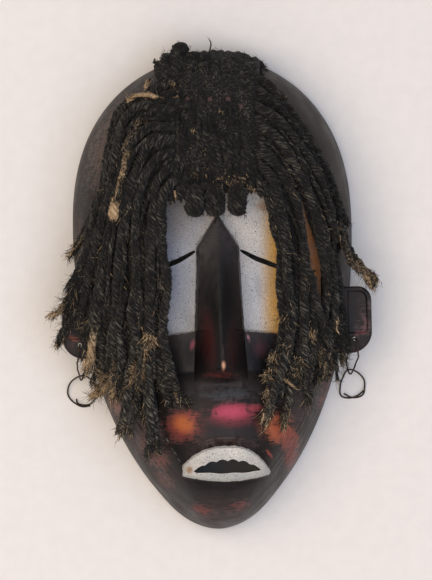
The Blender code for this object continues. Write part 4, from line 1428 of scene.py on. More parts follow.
@dataclass(frozen=True)
class HairGuides:
    """The routes that the plaits follow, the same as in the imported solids.

    Each guide runs from the middle of the forehead to its tip, as shares across and along. The
    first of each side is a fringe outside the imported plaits, for loose hair alone.
    """

    lock_radius: float = 0.0028
    gap: float = 0.0006
    layer_gap: float = 0.0009
    sway: float = 0.0005
    margin: float = 0.93
    segments: int = 12
    root: float = -0.045
    left: tuple = (
        ((-0.22, 0.93), (-0.40, 0.90), (-0.60, 0.76), (-0.78, 0.46), (-0.90, 0.20), (-0.97, 0.00)),
        ((-0.33, 0.74), (-0.54, 0.77), (-0.70, 0.62), (-0.80, 0.30), (-0.89, 0.08), (-1.01, -0.07)),
        ((-0.33, 0.66), (-0.58, 0.66), (-0.71, 0.40), (-0.79, 0.06), (-0.88, -0.13), (-1.08, -0.26)),
        ((-0.33, 0.58), (-0.52, 0.55), (-0.67, 0.32), (-0.75, 0.00), (-0.83, -0.20), (-0.88, -0.46)),
        ((-0.33, 0.50), (-0.48, 0.46), (-0.61, 0.22), (-0.67, -0.05), (-0.69, -0.25), (-0.73, -0.52)),
        ((-0.33, 0.38), (-0.44, 0.30), (-0.51, 0.06), (-0.52, -0.12), (-0.52, -0.34), (-0.60, -0.60)),
        ((-0.32, 0.28), (-0.39, 0.18), (-0.395, -0.05), (-0.38, -0.18), (-0.42, -0.34), (-0.29, -0.57)),
    )
    right: tuple = (
        ((0.20, 0.93), (0.42, 0.84), (0.62, 0.68), (0.82, 0.40), (0.97, 0.10), (1.02, -0.08)),
        ((0.33, 0.74), (0.46, 0.70), (0.64, 0.52), (0.82, 0.25), (0.91, -0.04), (1.12, -0.19)),
        ((0.33, 0.64), (0.44, 0.57), (0.60, 0.38), (0.73, 0.14), (0.85, -0.11), (0.93, -0.42)),
        ((0.33, 0.54), (0.43, 0.46), (0.60, 0.25), (0.71, -0.01), (0.79, -0.22), (0.72, -0.50)),
        ((0.33, 0.44), (0.42, 0.37), (0.52, 0.20), (0.60, -0.03), (0.61, -0.24), (0.60, -0.58)),
        ((0.33, 0.34), (0.40, 0.26), (0.46, 0.06), (0.49, -0.15), (0.48, -0.36), (0.30, -0.64)),
        ((0.33, 0.26), (0.37, 0.17), (0.41, 0.00), (0.43, -0.12), (0.44, -0.22), (0.47, -0.31)),
    )
    # Each lock's place between the guides, and how much of its route it covers
    left_locks: tuple[Plan, ...] = (
        (0.0, 1.0), (0.6, 1.0), (1.2, 1.0), (1.8, 1.04), (2.4, 1.0), (2.8, 1.05), (3.15, 0.96), (3.5, 1.13),
        (3.85, 0.9), (4.25, 1.18), (4.6, 0.92), (5.0, 1.0))
    right_locks: tuple[Plan, ...] = (
        (0.0, 1.0), (0.55, 0.76), (1.1, 0.97), (1.6, 0.9), (2.05, 1.0), (3.0, 1.0), (3.5, 1.04), (4.0, 1.0),
        (5.0, 1.0))

    def vault_at(self, x: Array, y: Array) -> Array:
        """Height of the plain vault, which the hair lies on, over places of the plan."""
        across, along = FACE.shares(np.asarray(x, dtype=float), np.asarray(y, dtype=float))
        height = FACE.vault(np.clip(across, -1.0, 1.0), along, FACE.dome, FACE.swell)
        return np.where(np.abs(across) < 1.0, height, 0.0)

    def outward(self, x: Array, y: Array) -> Array:
        """The vault's outward directions over places of the plan, as rows."""
        at, step = self.vault_at, SLOPE_STEP
        return unit(np.stack([at(x - step, y) - at(x + step, y), at(x, y - step) - at(x, y + step),
                              np.full(len(x), 2.0 * step)], axis=1))

    def keep_on_face(self, x: Array, y: Array) -> tuple[Array, Array]:
        """Draw places toward the middle until they lie on the face."""
        for _ in range(60):
            along = y / FACE.reach(y)
            out = (np.abs(along) >= self.margin) | (np.abs(x) >= self.margin * FACE.half_width(along))
            if not out.any():
                break
            x, y = np.where(out, 0.985 * x, x), np.where(out, 0.985 * y, y)
        return x, y

    def laid(self, plan: Array, lift: float | Array) -> tuple[Array, Array]:
        """Where things lie above the face and show at the given places from the front.

        Args:
            plan: rows of x, y.
            lift: the height above the wood.

        Returns:
            Rows of points, and rows of the face's outward directions there.
        """
        x, y = plan[:, 0], plan[:, 1]
        foot_x, foot_y = self.keep_on_face(x, y)
        for _ in range(16):
            normal = self.outward(foot_x, foot_y)
            point = np.stack([foot_x, foot_y, self.vault_at(foot_x, foot_y)], axis=1)
            point = point + normal * np.reshape(lift, (-1, 1))
            miss_x, miss_y = x - point[:, 0], y - point[:, 1]
            foot_x, foot_y = self.keep_on_face(foot_x + 0.6 * miss_x, foot_y + 0.6 * miss_y)
        return np.stack([x, y, point[:, 2]], axis=1), normal

    def raise_onto_ear(self, points: Array, plan: Array, lift: float | Array) -> None:
        """Raise a route's points onto the ear where it crosses one.

        Args:
            points: the route, changed in place.
            plan: its places, as rows of x, y.
            lift: its height above the ear.
        """
        ears = CarvedBody()
        margin = 2.5 * self.lock_radius
        reach = 0.5 * ears.ear_height + margin
        beside = ease(reach + 2.0 * margin, reach, np.abs(plan[:, 1] - ears.ear_edges()[1]))
        inner = ears.ear_root * FACE.half
        over = beside * ease(inner - margin, inner, np.abs(plan[:, 0]))
        points[:, 2] += np.maximum(ears.ear_front + lift - points[:, 2], 0.0) * over

    @staticmethod
    def through(points: Sequence[Sequence[float]], share: float) -> Array:
        """A point on the smooth curve through the points, going on straight past its ends."""
        if share > 1.0 or share < 0.0:
            back = 0.03
            end, inner = (1.0, 1.0 - back) if share > 1.0 else (0.0, back)
            last, before = HairGuides.through(points, end), HairGuides.through(points, inner)
            return last + (last - before) * abs(share - end) / back
        place = share * (len(points) - 1)
        index = min(int(place), len(points) - 2)
        t = place - index
        a, b = np.array(points[max(0, index - 1)]), np.array(points[index])
        c, d = np.array(points[index + 1]), np.array(points[min(len(points) - 1, index + 2)])
        bend = (2.0 * a - 5.0 * b + 4.0 * c - d) * t * t + (3.0 * b - a - 3.0 * c + d) * t ** 3
        return 0.5 * (2.0 * b + (c - a) * t + bend)

    def route(self, side: Side, place: float, shares: tuple[float, float], lift: float | Array, phase: float,
              sway: float) -> Array:
        """The middle line of a lock.

        Args:
            side: which side of the face.
            place: where it runs between the guides, 0 at the outermost packed one.
            shares: where it starts and ends along the guides.
            lift: its height above the wood, one value or one for each knot.
            phase: where its sway starts.
            sway: how far it sways.

        Returns:
            Rows of x, y, z.
        """
        guides = self.left if side is Side.LEFT else self.right
        index = min(int(place + 1.0), len(guides) - 2)
        blend = place + 1.0 - index
        knots = [[a + (b - a) * blend for a, b in zip(first, second)]
                 for first, second in zip(guides[index], guides[index + 1])]
        knots = [(a * FACE.half, b * float(FACE.reach(b))) for a, b in knots]
        steps = np.linspace(shares[0], shares[1], self.segments + 2)
        plan = np.array([self.through(knots, share) for share in steps])
        plan[:, 0] += sway * np.sin(9.0 * steps + phase)
        points, _ = self.laid(plan, lift)
        self.raise_onto_ear(points, plan, lift)
        return points


@dataclass(frozen=True)
class LooseStrand:
    """A strand or tuft that leaves the plaits; places in millimetres of the plan."""

    places: tuple[Plan, ...]
    radius_mm: float
    bleach: float
    lift_mm: float
    fray: int = 60
    fray_mm: float = 14.0
    fuzz: float = 3.2
    blunt: bool = False


@dataclass(frozen=True)
class Tuft:
    """A small brush of loose fibres at a place of the plan, in millimetres."""

    x: float
    y: float
    spread_mm: float
    length_mm: float
    turn: float
    bleach: float
    fibres: int
    lift_mm: float = 5.0


@dataclass
class Hair:
    """All the hair: the plaits at both sides, the pad over the crown, the stubs and loose ends."""

    guides: HairGuides = field(default_factory=HairGuides)
    fibres: Fibres = field(default_factory=Fibres)
    pad_half: float = 0.0285
    pad_foot: float = 0.27
    pad_crown: float = 0.985
    pad_thickness: float = 0.006
    stub_radius: float = 0.0060
    stub_length: float = 0.024
    stub_tuck: float = 0.006
    thick_strand: float = 0.0012
    plain_tones: tuple[float, ...] = (0, 0, 0.03, 0.03, 0.05, 0.1)
    undercoat_left: int = 54
    undercoat_right: int = 45
    loose_pieces: int = 4
    lock_fuzz: float = 3.6
    undercoat_fuzz: float = 1.1
    pad_strand_fuzz: float = 2.0
    stub_fuzz: float = 16.0
    lock_fray: int = 130
    lock_fray_length: float = 0.010
    undercoat_fray: int = 40
    undercoat_fray_length: float = 0.008
    pad_columns: int = 76
    pad_rows: int = 150
    pad_fibres: int = 3600
    pad_strands: int = 46
    pad_shrink: float = 0.0003
    bleached_left: dict = field(default_factory=lambda: {
        1: (0, 0, 0.05, 0.1, 0.1, 0.2), 3: (0, 0.1, 0.4, 0.15, 0, 0.3), 4: (0, 0, 0.1, 0, 0.1, 0.7),
        6: (0, 0, 0, 0.1, 0.1, 0.5), 8: (0, 0.05, 0.2, 0.1, 0.1, 0.3), 10: (0, 0, 0.05, 0.1, 0.1, 0.1)})
    bleached_right: dict = field(default_factory=lambda: {
        1: (0.05, 0.05, 0.05, 0.05, 0.1, 0.5), 5: (0.1, 0.25, 0.15, 0.1, 0, 0.2), 7: (0, 0.1, 0, 0, 0.1, 0.3),
        8: (0.05, 0, 0, 0, 0.1, 0.3)})
    strands: tuple[LooseStrand, ...] = (
        # The tan plait at the left temple, with a pale knob at its end
        LooseStrand(((-49.4, 74.1), (-57.8, 62.1), (-61.8, 41.7), (-66.9, 27), (-69, 18)),
                    2.3, 0.42, 12, 20, 8),
        LooseStrand(((-67.5, 21), (-69.5, 14), (-70.5, 8.5)), 3.1, 0.75, 12.5, 10, 5, 5, True),
        LooseStrand(((-31, 87.3), (-41.8, 90.8), (-49.7, 91.5), (-55.5, 89.5)), 1.5, 0.8, 8, 60, 8),
        # Hair that lies over the left ear, and its tips
        LooseStrand(((-78, 24), (-85, 4), (-89, -16), (-93, -34), (-101, -47)), 3.2, 0.05, 9, 160, 12),
        LooseStrand(((-74, 10), (-82, -12), (-87, -32), (-92, -50), (-99, -60)), 3.4, 0.05, 9, 160, 13),
        LooseStrand(((-72, 0), (-78, -22), (-81, -44), (-84, -60), (-88, -70)), 3.3, 0.1, 10, 150, 12),
        LooseStrand(((-82, 12), (-86, -6), (-89, -20), (-94, -34)), 2.4, 0.05, 9, 60, 7),
        LooseStrand(((-88, 2), (-91, -6), (-94.5, -10.7), (-98, -13.4)), 0.7, 0.35, 7, 10, 3),
        LooseStrand(((-62, -40), (-68, -62), (-66, -84), (-70, -100)), 2.8, 0.1, 12, 140, 10, 5),
        LooseStrand(((-84, -40), (-82, -60), (-78, -78), (-76, -92)), 2.8, 0.05, 9, 120, 9, 5),
        LooseStrand(((-56, -30), (-60, -56), (-54, -80), (-56, -100)), 2.4, 0.15, 14, 140, 10, 5),
        LooseStrand(((-95, -34), (-102, -47), (-107, -53), (-112.5, -57)), 2.2, 0.45, 6, 90, 7),
        LooseStrand(((-101, -58), (-105, -68), (-107.5, -75)), 2.6, 0.15, 6, 110, 8),
        # Straw tufts beside the left earring and on the cheek
        LooseStrand(((-70, -88), (-73, -99), (-78, -107), (-84.5, -110)), 2, 0.75, 7, 150, 11, 5),
        LooseStrand(((-60, -84), (-62, -98), (-66, -110)), 2.8, 0.2, 6, 150, 12),
        LooseStrand(((-49.5, -68), (-50, -80), (-53.3, -91), (-59.5, -101)), 2.4, 0.5, 10, 170, 11, 5),
        LooseStrand(((-72, -60), (-73, -80), (-75, -98)), 3.2, 0.1, 8, 170, 12),
        LooseStrand(((-58, -104), (-57.5, -118), (-60, -130), (-61, -135)), 1.6, 0.1, 5, 60, 8),
        LooseStrand(((-47, -104), (-46, -122), (-44, -138), (-42.5, -148)), 2.3, 0.05, 5, 110, 9),
        LooseStrand(((-52, -100), (-50, -112), (-50, -124)), 2.6, 0.1, 6, 120, 11),
        LooseStrand(((-38, -96), (-33, -106), (-26, -114)), 2.4, 0.08, 6, 120, 9),
        LooseStrand(((-43, -128), (-38.6, -138.9), (-32, -149), (-26.4, -157.9)), 0.45, 0, 1.4, 2, 3, 0.3),
        # Ends at the right
        LooseStrand(((82, 4), (86, -10), (90, -22), (96, -29), (103, -32), (107.5, -36), (105, -40)),
                    2.2, 0.32, 9, 130, 5, 5),
        LooseStrand(((35, -82), (33.5, -96), (31.5, -107), (30.5, -115)), 2.4, 0.16, 7, 110, 7, 5.6),
        LooseStrand(((42, -80), (41, -92), (39, -102)), 3.2, 0.15, 8, 150, 9, 5.6),
        LooseStrand(((54, -74), (53, -88), (51, -101)), 3.6, 0.12, 8, 160, 10, 5.6),
        LooseStrand(((20, 106), (38, 94), (55, 73), (69, 50), (82, 22), (88, 2)), 3.1, 0.06, 5, 60, 7, 3.7),
        LooseStrand(((18, 99), (34, 90), (50, 74), (62, 55), (74, 28)), 2.9, 0.04, 5, 40, 7, 3.7),
        LooseStrand(((12, 108), (26, 104), (38, 98), (47, 87)), 1.6, 0.05, 8, 40, 6),
        LooseStrand(((66, 6), (70.5, -18), (73, -42), (70, -64), (66, -84)), 3, 0.1, 9, 140, 10, 4.3),
        LooseStrand(((57, 0), (59, -20), (62.5, -38), (67.5, -56), (70, -74)), 2.6, 0.06, 12, 120, 9, 4.3),
        LooseStrand(((60, -44), (63, -58), (62, -76), (58, -92)), 3.3, 0.12, 8, 150, 10, 5),
        LooseStrand(((64, -70), (62, -86), (59, -100), (57, -108)), 3.4, 0.1, 8, 150, 9, 5.6),
        LooseStrand(((74, -62), (73, -80), (70, -96)), 3.4, 0.1, 8, 180, 13, 5.6),
        LooseStrand(((82, -58), (83, -72), (84.5, -84), (84, -90)), 2.6, 0.12, 7, 120, 9),
        LooseStrand(((36, -96), (42, -101), (50, -108)), 0.9, 0.5, 12.5, 30, 5),
        LooseStrand(((46, -70), (45, -84), (46, -97)), 2.8, 0.1, 9, 150, 14, 5.6),
        # Lumps and curls along the crown's edge
        LooseStrand(((-23, 104), (-21, 114), (-20.5, 121), (-18.5, 127)), 5.8, 0.05, 4, 0, 4, 9.9, True),
        LooseStrand(((-29.5, 100), (-29, 110), (-28, 119.5)), 5, 0.05, 4, 0, 4, 7.4, True),
        LooseStrand(((-14, 104), (-13.5, 113), (-12, 121)), 5.2, 0.03, 4, 0, 4, 8.7, True),
        LooseStrand(((-6, 104), (-5.5, 112), (-4.5, 119)), 4.6, 0.03, 4, 0, 4, 7.4, True),
        LooseStrand(((2, 102), (3, 109), (4, 114)), 4.4, 0.03, 4, 0, 4, 7.4, True),
        LooseStrand(((12, 101), (14, 107.5), (16, 112.5)), 4.2, 0.06, 4, 30, 4, 7.4, True),
        LooseStrand(((20, 98), (22.5, 105), (24, 109)), 3.4, 0.04, 4, 0, 4, 6.2, True),
        LooseStrand(((-2.5, 116), (-0.5, 121.5), (0.2, 126), (-1.5, 129)), 0.5, 0.2, 3, 0, 4, 1.2),
        LooseStrand(((23, 106.5), (27, 112), (32.5, 112), (37.5, 107)), 1.7, 0.02, 3, 20, 5, 3.7),
        LooseStrand(((-31, 100), (-37, 97.5), (-42.5, 92.5), (-46, 86)), 3.4, 0.1, 4, 70, 6, 5),
        LooseStrand(((-42, 102), (-44.5, 98), (-44, 94)), 1.5, 0.75, 6, 50, 4, 5),
        LooseStrand(((-33, 100), (-35, 107), (-35.5, 113)), 3, 0.08, 4, 30, 3, 5, True),
        # Short ends under the pad, over the top of the eye panels
        LooseStrand(((-33, 36), (-31.5, 28), (-30.5, 19.5)), 2.8, 0.06, 4, 30, 3, 5, True),
        LooseStrand(((-27, 37), (-26.5, 28), (-25.5, 20)), 3, 0.10, 5, 30, 3, 5, True),
        LooseStrand(((-22, 38), (-21.5, 29), (-20, 22)), 2.6, 0.06, 5, 30, 3, 5, True),
        LooseStrand(((22, 38), (22.5, 30), (23.5, 23.5)), 2.6, 0.12, 5, 30, 3, 5, True),
        LooseStrand(((27.5, 38), (29, 29), (30.5, 21.5)), 3, 0.10, 5, 30, 3, 5, True),
        LooseStrand(((33, 37), (35, 28), (37, 18.5)), 3, 0.06, 5, 30, 3, 5, True),
        LooseStrand(((-18, 100), (-28, 99), (-38, 93), (-46, 82)), 3.3, 0.05, 5, 50, 5, 5),
        LooseStrand(((-16, 92), (-26, 92.5), (-35, 89), (-42, 80)), 3.2, 0.05, 7, 50, 5, 5),
        LooseStrand(((-16, 84), (-27, 86), (-38, 84), (-48, 74)), 3, 0.05, 8, 50, 5, 5),
    )
    tufts: tuple[Tuft, ...] = (
        Tuft(-13, 37, 3.5, 4, -80, 0.12, 70, 7.5), Tuft(-6, 39, 3, 4, -60, 0.10, 60, 7.5),
        Tuft(4, 35, 3.6, 5, -100, 0.32, 110, 8), Tuft(9.5, 32, 3.2, 4, -70, 0.45, 90, 8),
        Tuft(1, 31, 3.4, 4, -120, 0.22, 70, 7.5), Tuft(16, 34, 3.4, 5, -60, 0.25, 70, 8),
        Tuft(22, 28, 2.6, 4, -90, 0.50, 60, 7), Tuft(-14, 67, 2, 3, -90, 0.6, 26, 7.5),
        Tuft(-7, 52, 2, 3, -80, 0.35, 26, 7.5), Tuft(4, 80, 2, 3, -90, 0.25, 24, 7.5),
        Tuft(-24, 92, 2.2, 4.5, -95, 0.5, 34, 8), Tuft(-27, 99, 2.2, 4, -140, 0.5, 34, 8),
        Tuft(-47, -72, 2.8, 9, -110, 0.9, 120, 12.5), Tuft(-52, -80, 2.6, 8, -80, 0.8, 90, 12.5),
        Tuft(-73, -97, 2.6, 11, -150, 1, 230, 8), Tuft(-80, -104, 1.8, 7, -160, 1, 70, 6),
        Tuft(-53, -92, 2.6, 11, 225, 1, 230, 10), Tuft(-98, -52, 1.6, 5, 200, 0.7, 50, 8),
        Tuft(31, -97, 2.6, 8, -100, 0.65, 80, 11), Tuft(35, -86, 2.6, 8, -80, 0.45, 80, 11),
        Tuft(47, -96, 2.4, 7, -40, 0.45, 60, 11), Tuft(30.5, -110, 2.2, 6, -100, 0.75, 70, 8),
        Tuft(103, -34, 2.2, 5, -30, 0.85, 90, 8), Tuft(96, -28, 2.4, 6, -50, 0.6, 70, 9),
        Tuft(60, -70, 5, 7, -100, 0.3, 130, 11), Tuft(52, -90, 5, 7, -90, 0.3, 130, 11),
        Tuft(68, -84, 5, 7, -80, 0.25, 130, 10), Tuft(44, -80, 4, 7, -100, 0.3, 100, 11),
    )

    def build_lock(self, side: Side, number: int) -> Item:
        """One plaited lock with its fuzz and frayed end.

        Args:
            side: which side of the face.
            number: the lock's number, from 1.

        Returns:
            The lock, in the mask's own frame.
        """
        seed = number + (40 if side is Side.RIGHT else 0)
        rng = np.random.default_rng(seed)
        bleached = self.bleached_left if side is Side.LEFT else self.bleached_right
        tones = bleached.get(number, self.plain_tones)
        bundle = HairBundle()
        swell = 1.06 + 0.10 * rng.normal(0.0, 1.0, 14)
        swell[-3:] *= (0.98, 0.9, 0.6)
        guides = self.guides
        place, cover = (guides.left_locks if side is Side.LEFT else guides.right_locks)[number - 1]
        layer = (number + 1) % 2
        lift = guides.gap + guides.lock_radius + layer * (2.0 * guides.lock_radius + guides.layer_gap)
        rise = np.interp(np.arange(guides.segments + 2), (0, 1, 2), (0.25, 0.75, 1.0))
        route = guides.route(side, place, (guides.root - 0.07, cover), lift * rise, 1.7 * number, 1.2 * MM)
        plait = Plait(guides.lock_radius, pitch=0.012 + 0.006 * rng.random())
        line = plait.add_to(bundle, route, swell, tones, seed)
        self._fuzz(bundle, line, guides.lock_radius, spread_over(tones, len(line)), rng, self.lock_fuzz)
        self._fray(bundle, line, guides.lock_radius, tones[-1], rng, self.lock_fray, self.lock_fray_length)
        return bundle.to_object("plait_" + side.name.lower() + "_" + str(number).zfill(2))

    def build_undercoat(self, side: Side) -> list[Item]:
        """Matted hair under and between the plaits of one side.

        Args:
            side: which side of the face.

        Returns:
            The undercoat in two pieces, in the mask's own frame.
        """
        count = self.undercoat_left if side is Side.LEFT else self.undercoat_right
        rng = np.random.default_rng(401 if side is Side.LEFT else 402)
        bundles = [HairBundle(), HairBundle()]
        for number in range(count):
            bundle = bundles[number % 2]
            place = 0.1 + 4.85 * (number + rng.random()) / count
            radius = rng.uniform(1.3, 2.3) * MM
            lift, sway = radius + rng.uniform(0.6, 4.0) * MM, 1.4 * MM
            cover = rng.uniform(0.82, 1.06)
            start = self.guides.root - rng.uniform(0.02, 0.10)
            if number % 3 == 2:
                radius, lift, sway = 0.62 * radius, rng.uniform(9.5, 12.5) * MM, rng.uniform(2.0, 4.0) * MM
                start = rng.uniform(-0.05, 0.35)
                cover = start + rng.uniform(0.35, 0.7)
            if place < 1.4:
                cover = min(cover, 0.62 + 0.1 * place if side is Side.RIGHT else 0.80)
                sway = min(sway, 1.4 * MM)
            if side is Side.RIGHT and 2.1 < place < 2.98:
                cover = min(cover, rng.uniform(0.30, 0.40))
                sway = min(sway, 1.4 * MM)
            if place > 4.0:
                sway = 0.6 * MM
            knots = np.interp(np.arange(self.guides.segments + 2), (0, 2), (0.3, 1.0))
            route = self.guides.route(side, place, (start, cover), lift * knots, 6.3 * rng.random(), sway)
            plait = Plait(radius, rng.uniform(0.007, 0.014), 2, sides=8, step=0.0017, wander=0.0014)
            tone = rng.uniform(0.0, 0.16)
            swell = 1.0 + 0.2 * rng.normal(0.0, 1.0, 12)
            line = plait.add_to(bundle, route, swell, (0.0, tone, 0.0, tone), 500 + number)
            self._fuzz(bundle, line, radius, np.full(len(line), tone), rng, self.undercoat_fuzz)
            self._fray(bundle, line, radius, tone + 0.1, rng, self.undercoat_fray, self.undercoat_fray_length)
        stem = "undercoat_" + side.name.lower() + "_"
        return [bundle.to_object(stem + str(place)) for place, bundle in enumerate(bundles, 1)]

    def _fuzz(self, bundle: HairBundle, line: Array, radius: float, tone: Array, rng: np.random.Generator,
              per_mm: float) -> None:
        """Short fibres that lie along a plait and stand off it.

        Args:
            bundle: collects the fibres.
            line: the plait's fine middle line.
            radius: its radius.
            tone: how tan it is at each point of the line.
            rng: the seeded random numbers.
            per_mm: fibres for each millimetre of plait.
        """
        length = np.linalg.norm(np.diff(line, axis=0), axis=1).sum() / MM
        count = max(1, int(per_mm * length))
        at = rng.integers(0, len(line) - 1, count)
        tangent = line[np.minimum(at + 1, len(line) - 1)] - line[np.maximum(at - 1, 0)]
        tangent = unit(tangent)
        out = rng.normal(0.0, 1.0, (count, 3))
        out[:, 2] = np.abs(out[:, 2]) + 0.2
        out -= tangent * (out * tangent).sum(axis=1)[:, None]
        out = unit(out)
        roots = line[at] + 0.95 * radius * out
        heads = out * rng.uniform(0.0, 0.45, count)[:, None]
        heads = heads + tangent * rng.choice([-1.0, 1.0], count)[:, None]
        self.fibres.add_to(bundle, roots, heads, rng.uniform(1.2, 3.6, count) * MM,
                           np.clip(tone[at] + rng.normal(0.0, 0.07, count), 0.0, 1.0), rng)

    @staticmethod
    def _mixed(share: float, count: int, rng: np.random.Generator) -> Array:
        """How tan each of some loose fibres is: a share of them pale, the others near black."""
        pale = rng.random(count) < 0.75 * share + 0.03
        return np.where(pale, rng.uniform(0.28, 0.95, count), rng.uniform(0.0, 0.15, count))

    def _fray(self, bundle: HairBundle, line: Array, radius: float, tone: float, rng: np.random.Generator,
              count: int, length: float) -> None:
        """The open end of a plait: its strands part and end in a tangle of loose fibres.

        Args:
            bundle: collects them.
            line: the plait's fine middle line.
            radius: its radius.
            tone: how tan its end is.
            rng: the seeded random numbers.
            count: how many fibres.
            length: the longest fibres.
        """
        if count < 1:
            return
        back = max(2, len(line) - 14)
        heading = unit(line[-1] - line[back - 1])
        at = rng.integers(back, len(line), count)
        roots = line[at] + rng.normal(0.0, 0.55 * radius, (count, 3))
        heads = heading + rng.normal(0.0, 0.34, (count, 3)) * np.array([1.0, 1.0, 0.6])
        self.fibres.add_to(bundle, roots, heads, rng.uniform(0.25, 1.0, count) * length,
                           self._mixed(tone, count, rng), rng, 1.3)
        for _ in range(4 if radius > self.thick_strand else 1):
            way = heading + rng.normal(0.0, 0.30, 3)
            start = line[-1] + rng.normal(0.0, 0.4 * radius, 3)
            bends = [start - 2.0 * radius * heading, start]
            for _ in range(4):
                way = unit(way)
                bends.append(bends[-1] + way * 0.13 * length)
                way = way + rng.normal(0.0, 0.5, 3)
            knots = np.array(bends)
            low = FACE.height_at(knots[:, 0], knots[:, 1]) + 0.9 * MM
            knots[:, 2] = np.maximum(knots[:, 2], low)
            thin = Plait(0.38 * radius, pitch=0.006, strand_count=2, sides=7, step=0.0011)
            shade = float(np.clip(tone + rng.normal(0.0, 0.2), 0.0, 1.0))
            thin.add_to(bundle, knots, (1.0, 0.9, 0.8, 0.55, 0.15), (shade, shade), int(rng.integers(1, 900)))

    def build_loose(self) -> list[Item]:
        """All the loose strands in a few pieces, and the tufts as the last."""
        bundles = [HairBundle() for _ in range(self.loose_pieces + 1)]
        for number, strand in enumerate(self.strands):
            bundle = bundles[number % self.loose_pieces]
            rng = np.random.default_rng(200 + number)
            plan = MM * np.array(strand.places)
            route, _ = self.guides.laid(plan, strand.lift_mm * MM)
            self.guides.raise_onto_ear(route, plan, 0.6 * strand.lift_mm * MM)
            radius = strand.radius_mm * MM
            thick = radius > self.thick_strand
            plait = Plait(radius, pitch=max(0.006, 5.5 * radius), sides=14 if thick else 7,
                          strand_count=3 if thick else 2, crease=0.10 if strand.blunt else 0.17)
            tone = [strand.bleach * share for share in (0.3, 0.7, 1.0, 1.0)]
            swell = (0.85, 1.0, 1.05, 1.0) if strand.blunt else (0.6, 1.0, 1.0, 0.9, 0.45)
            line = plait.add_to(bundle, route, swell, tone, 300 + number, blunt=strand.blunt)
            self._fuzz(bundle, line, radius, np.full(len(line), strand.bleach), rng, strand.fuzz)
            self._fray(bundle, line, radius, strand.bleach, rng, strand.fray, strand.fray_mm * MM)
        for number, tuft in enumerate(self.tufts):
            rng = np.random.default_rng(900 + number)
            centre, _ = self.guides.laid(MM * np.array([[tuft.x, tuft.y]]), tuft.lift_mm * MM)
            spread = rng.normal(0.0, 0.5 * tuft.spread_mm * MM, (tuft.fibres, 3))
            roots = centre + spread * np.array([1.0, 1.0, 0.4])
            turn = np.radians(tuft.turn + rng.normal(0.0, 28.0, tuft.fibres))
            heads = np.stack([np.cos(turn), np.sin(turn), rng.normal(0.15, 0.3, tuft.fibres)], axis=1)
            lengths = rng.uniform(0.4, 1.1, tuft.fibres) * tuft.length_mm * MM
            bleach = self._mixed(tuft.bleach, tuft.fibres, rng)
            self.fibres.add_to(bundles[-1], roots, heads, lengths, bleach, rng, 2.0)
        return [bundle.to_object("loose_strands_" + str(place)) for place, bundle in enumerate(bundles, 1)]

    def build_stub(self, label: str, across: float) -> Item:
        """One of the three short thick locks over the brow.

        Args:
            label: left, middle or right.
            across: its place, as a share of the half width.

        Returns:
            The stub, in the mask's own frame.
        """
        seed = {"left": 61, "middle": 62, "right": 63}[label]
        rng = np.random.default_rng(seed)
        top = self.pad_foot * FACE.crown - self.stub_radius - self.guides.gap
        drops = top + self.stub_tuck - (self.stub_length - 0.2 * self.stub_radius) * np.linspace(0.0, 1.0, 6)
        plan = np.stack([np.full(6, across * FACE.half), drops], axis=1)
        route, _ = self.guides.laid(plan, self.guides.gap + self.stub_radius)
        bundle = HairBundle()
        plait = Plait(self.stub_radius, pitch=0.05, crease=0.07, lumps=0.20, sides=30, wander=0.0)
        swell, tones = (0.75, 0.95, 1.05, 1.08, 1.04, 0.98), (0.22, 0.12, 0.04, 0.03, 0.05)
        line = plait.add_to(bundle, route, swell, tones, seed, blunt=True)
        self._fuzz(bundle, line, self.stub_radius, np.linspace(0.14, 0.05, len(line)), rng, self.stub_fuzz)
        return bundle.to_object("stub_" + label)

    def build_pad(self) -> Item:
        """The matted sheet over the crown: felted lumps, strands over it, fuzz and tan frays.

        Returns:
            The pad, in the mask's own frame.
        """
        columns, rows = self.pad_columns, self.pad_rows
        start, end = math.asin(self.pad_foot), math.asin(self.pad_crown)
        u, v = np.meshgrid(np.linspace(-1.0, 1.0, columns), np.linspace(0.0, 1.0, rows))
        u, v = u.ravel(), v.ravel()
        ragged = 1.0 + 0.12 * lattice_noise(np.stack([0.0 * u, 14.0 * v, np.sign(u)], axis=1), 1.0, 31)
        x = u * self.pad_half * (1.0 + 0.16 * ease(0.55, 0.8, v)) * ragged
        top = FACE.crown * (1.0 - (np.abs(x) / FACE.half) ** 2) ** (1.0 / 2.4)
        y = top * np.sin(start + (end - start) * v)
        fringe = lattice_noise(np.stack([14.0 * u, 0.0 * u, 0.0 * u], axis=1), 1.0, 33)
        y += 1.6 * MM * fringe * ease(0.15, 0.0, v)
        normal = self.guides.outward(x, y)
        foot = np.stack([x, y, self.guides.vault_at(x, y)], axis=1)
        rim = np.minimum(np.minimum(1.0 - np.abs(u), 12.0 * v), 12.0 * (1.0 - v)) / 0.16
        dome = np.sqrt(np.clip(1.0 - (1.0 - np.clip(rim, 0.0, 1.0)) ** 2, 0.0, 1.0))
        lumps = 1.5 * MM * layered_noise(foot, 6.0 * MM, 34, 4) + 0.6 * MM * lattice_noise(foot, 1.3 * MM, 37)
        ridges = 0.7 * MM * np.sin(2.0 * math.pi * x / (5.5 * MM) + 1.5 * layered_noise(foot, 12.0 * MM, 39))
        seam = -1.8 * MM * np.exp(-((x + 23.0 * MM - 0.012 * y) / (0.8 * MM)) ** 2)
        thick = self.pad_thickness - self.pad_shrink
        level = self.guides.gap + thick
        lift = self.guides.gap + dome * (thick + lumps + ridges * 0.6 + seam)
        tacks = np.array(Tacks().plan_places())
        for tack in tacks:
            near = np.hypot(x - tack[0], y - tack[1])
            lift += (level - lift) * ease(4.5 * MM, 2.4 * MM, near)
        upper = foot + normal * lift[:, None]
        lower = foot + normal * self.guides.gap * 0.5
        verts = np.vstack([upper, lower])
        index = np.arange(columns * rows).reshape(rows, columns)
        a, b = index[:-1, :-1].ravel(), index[:-1, 1:].ravel()
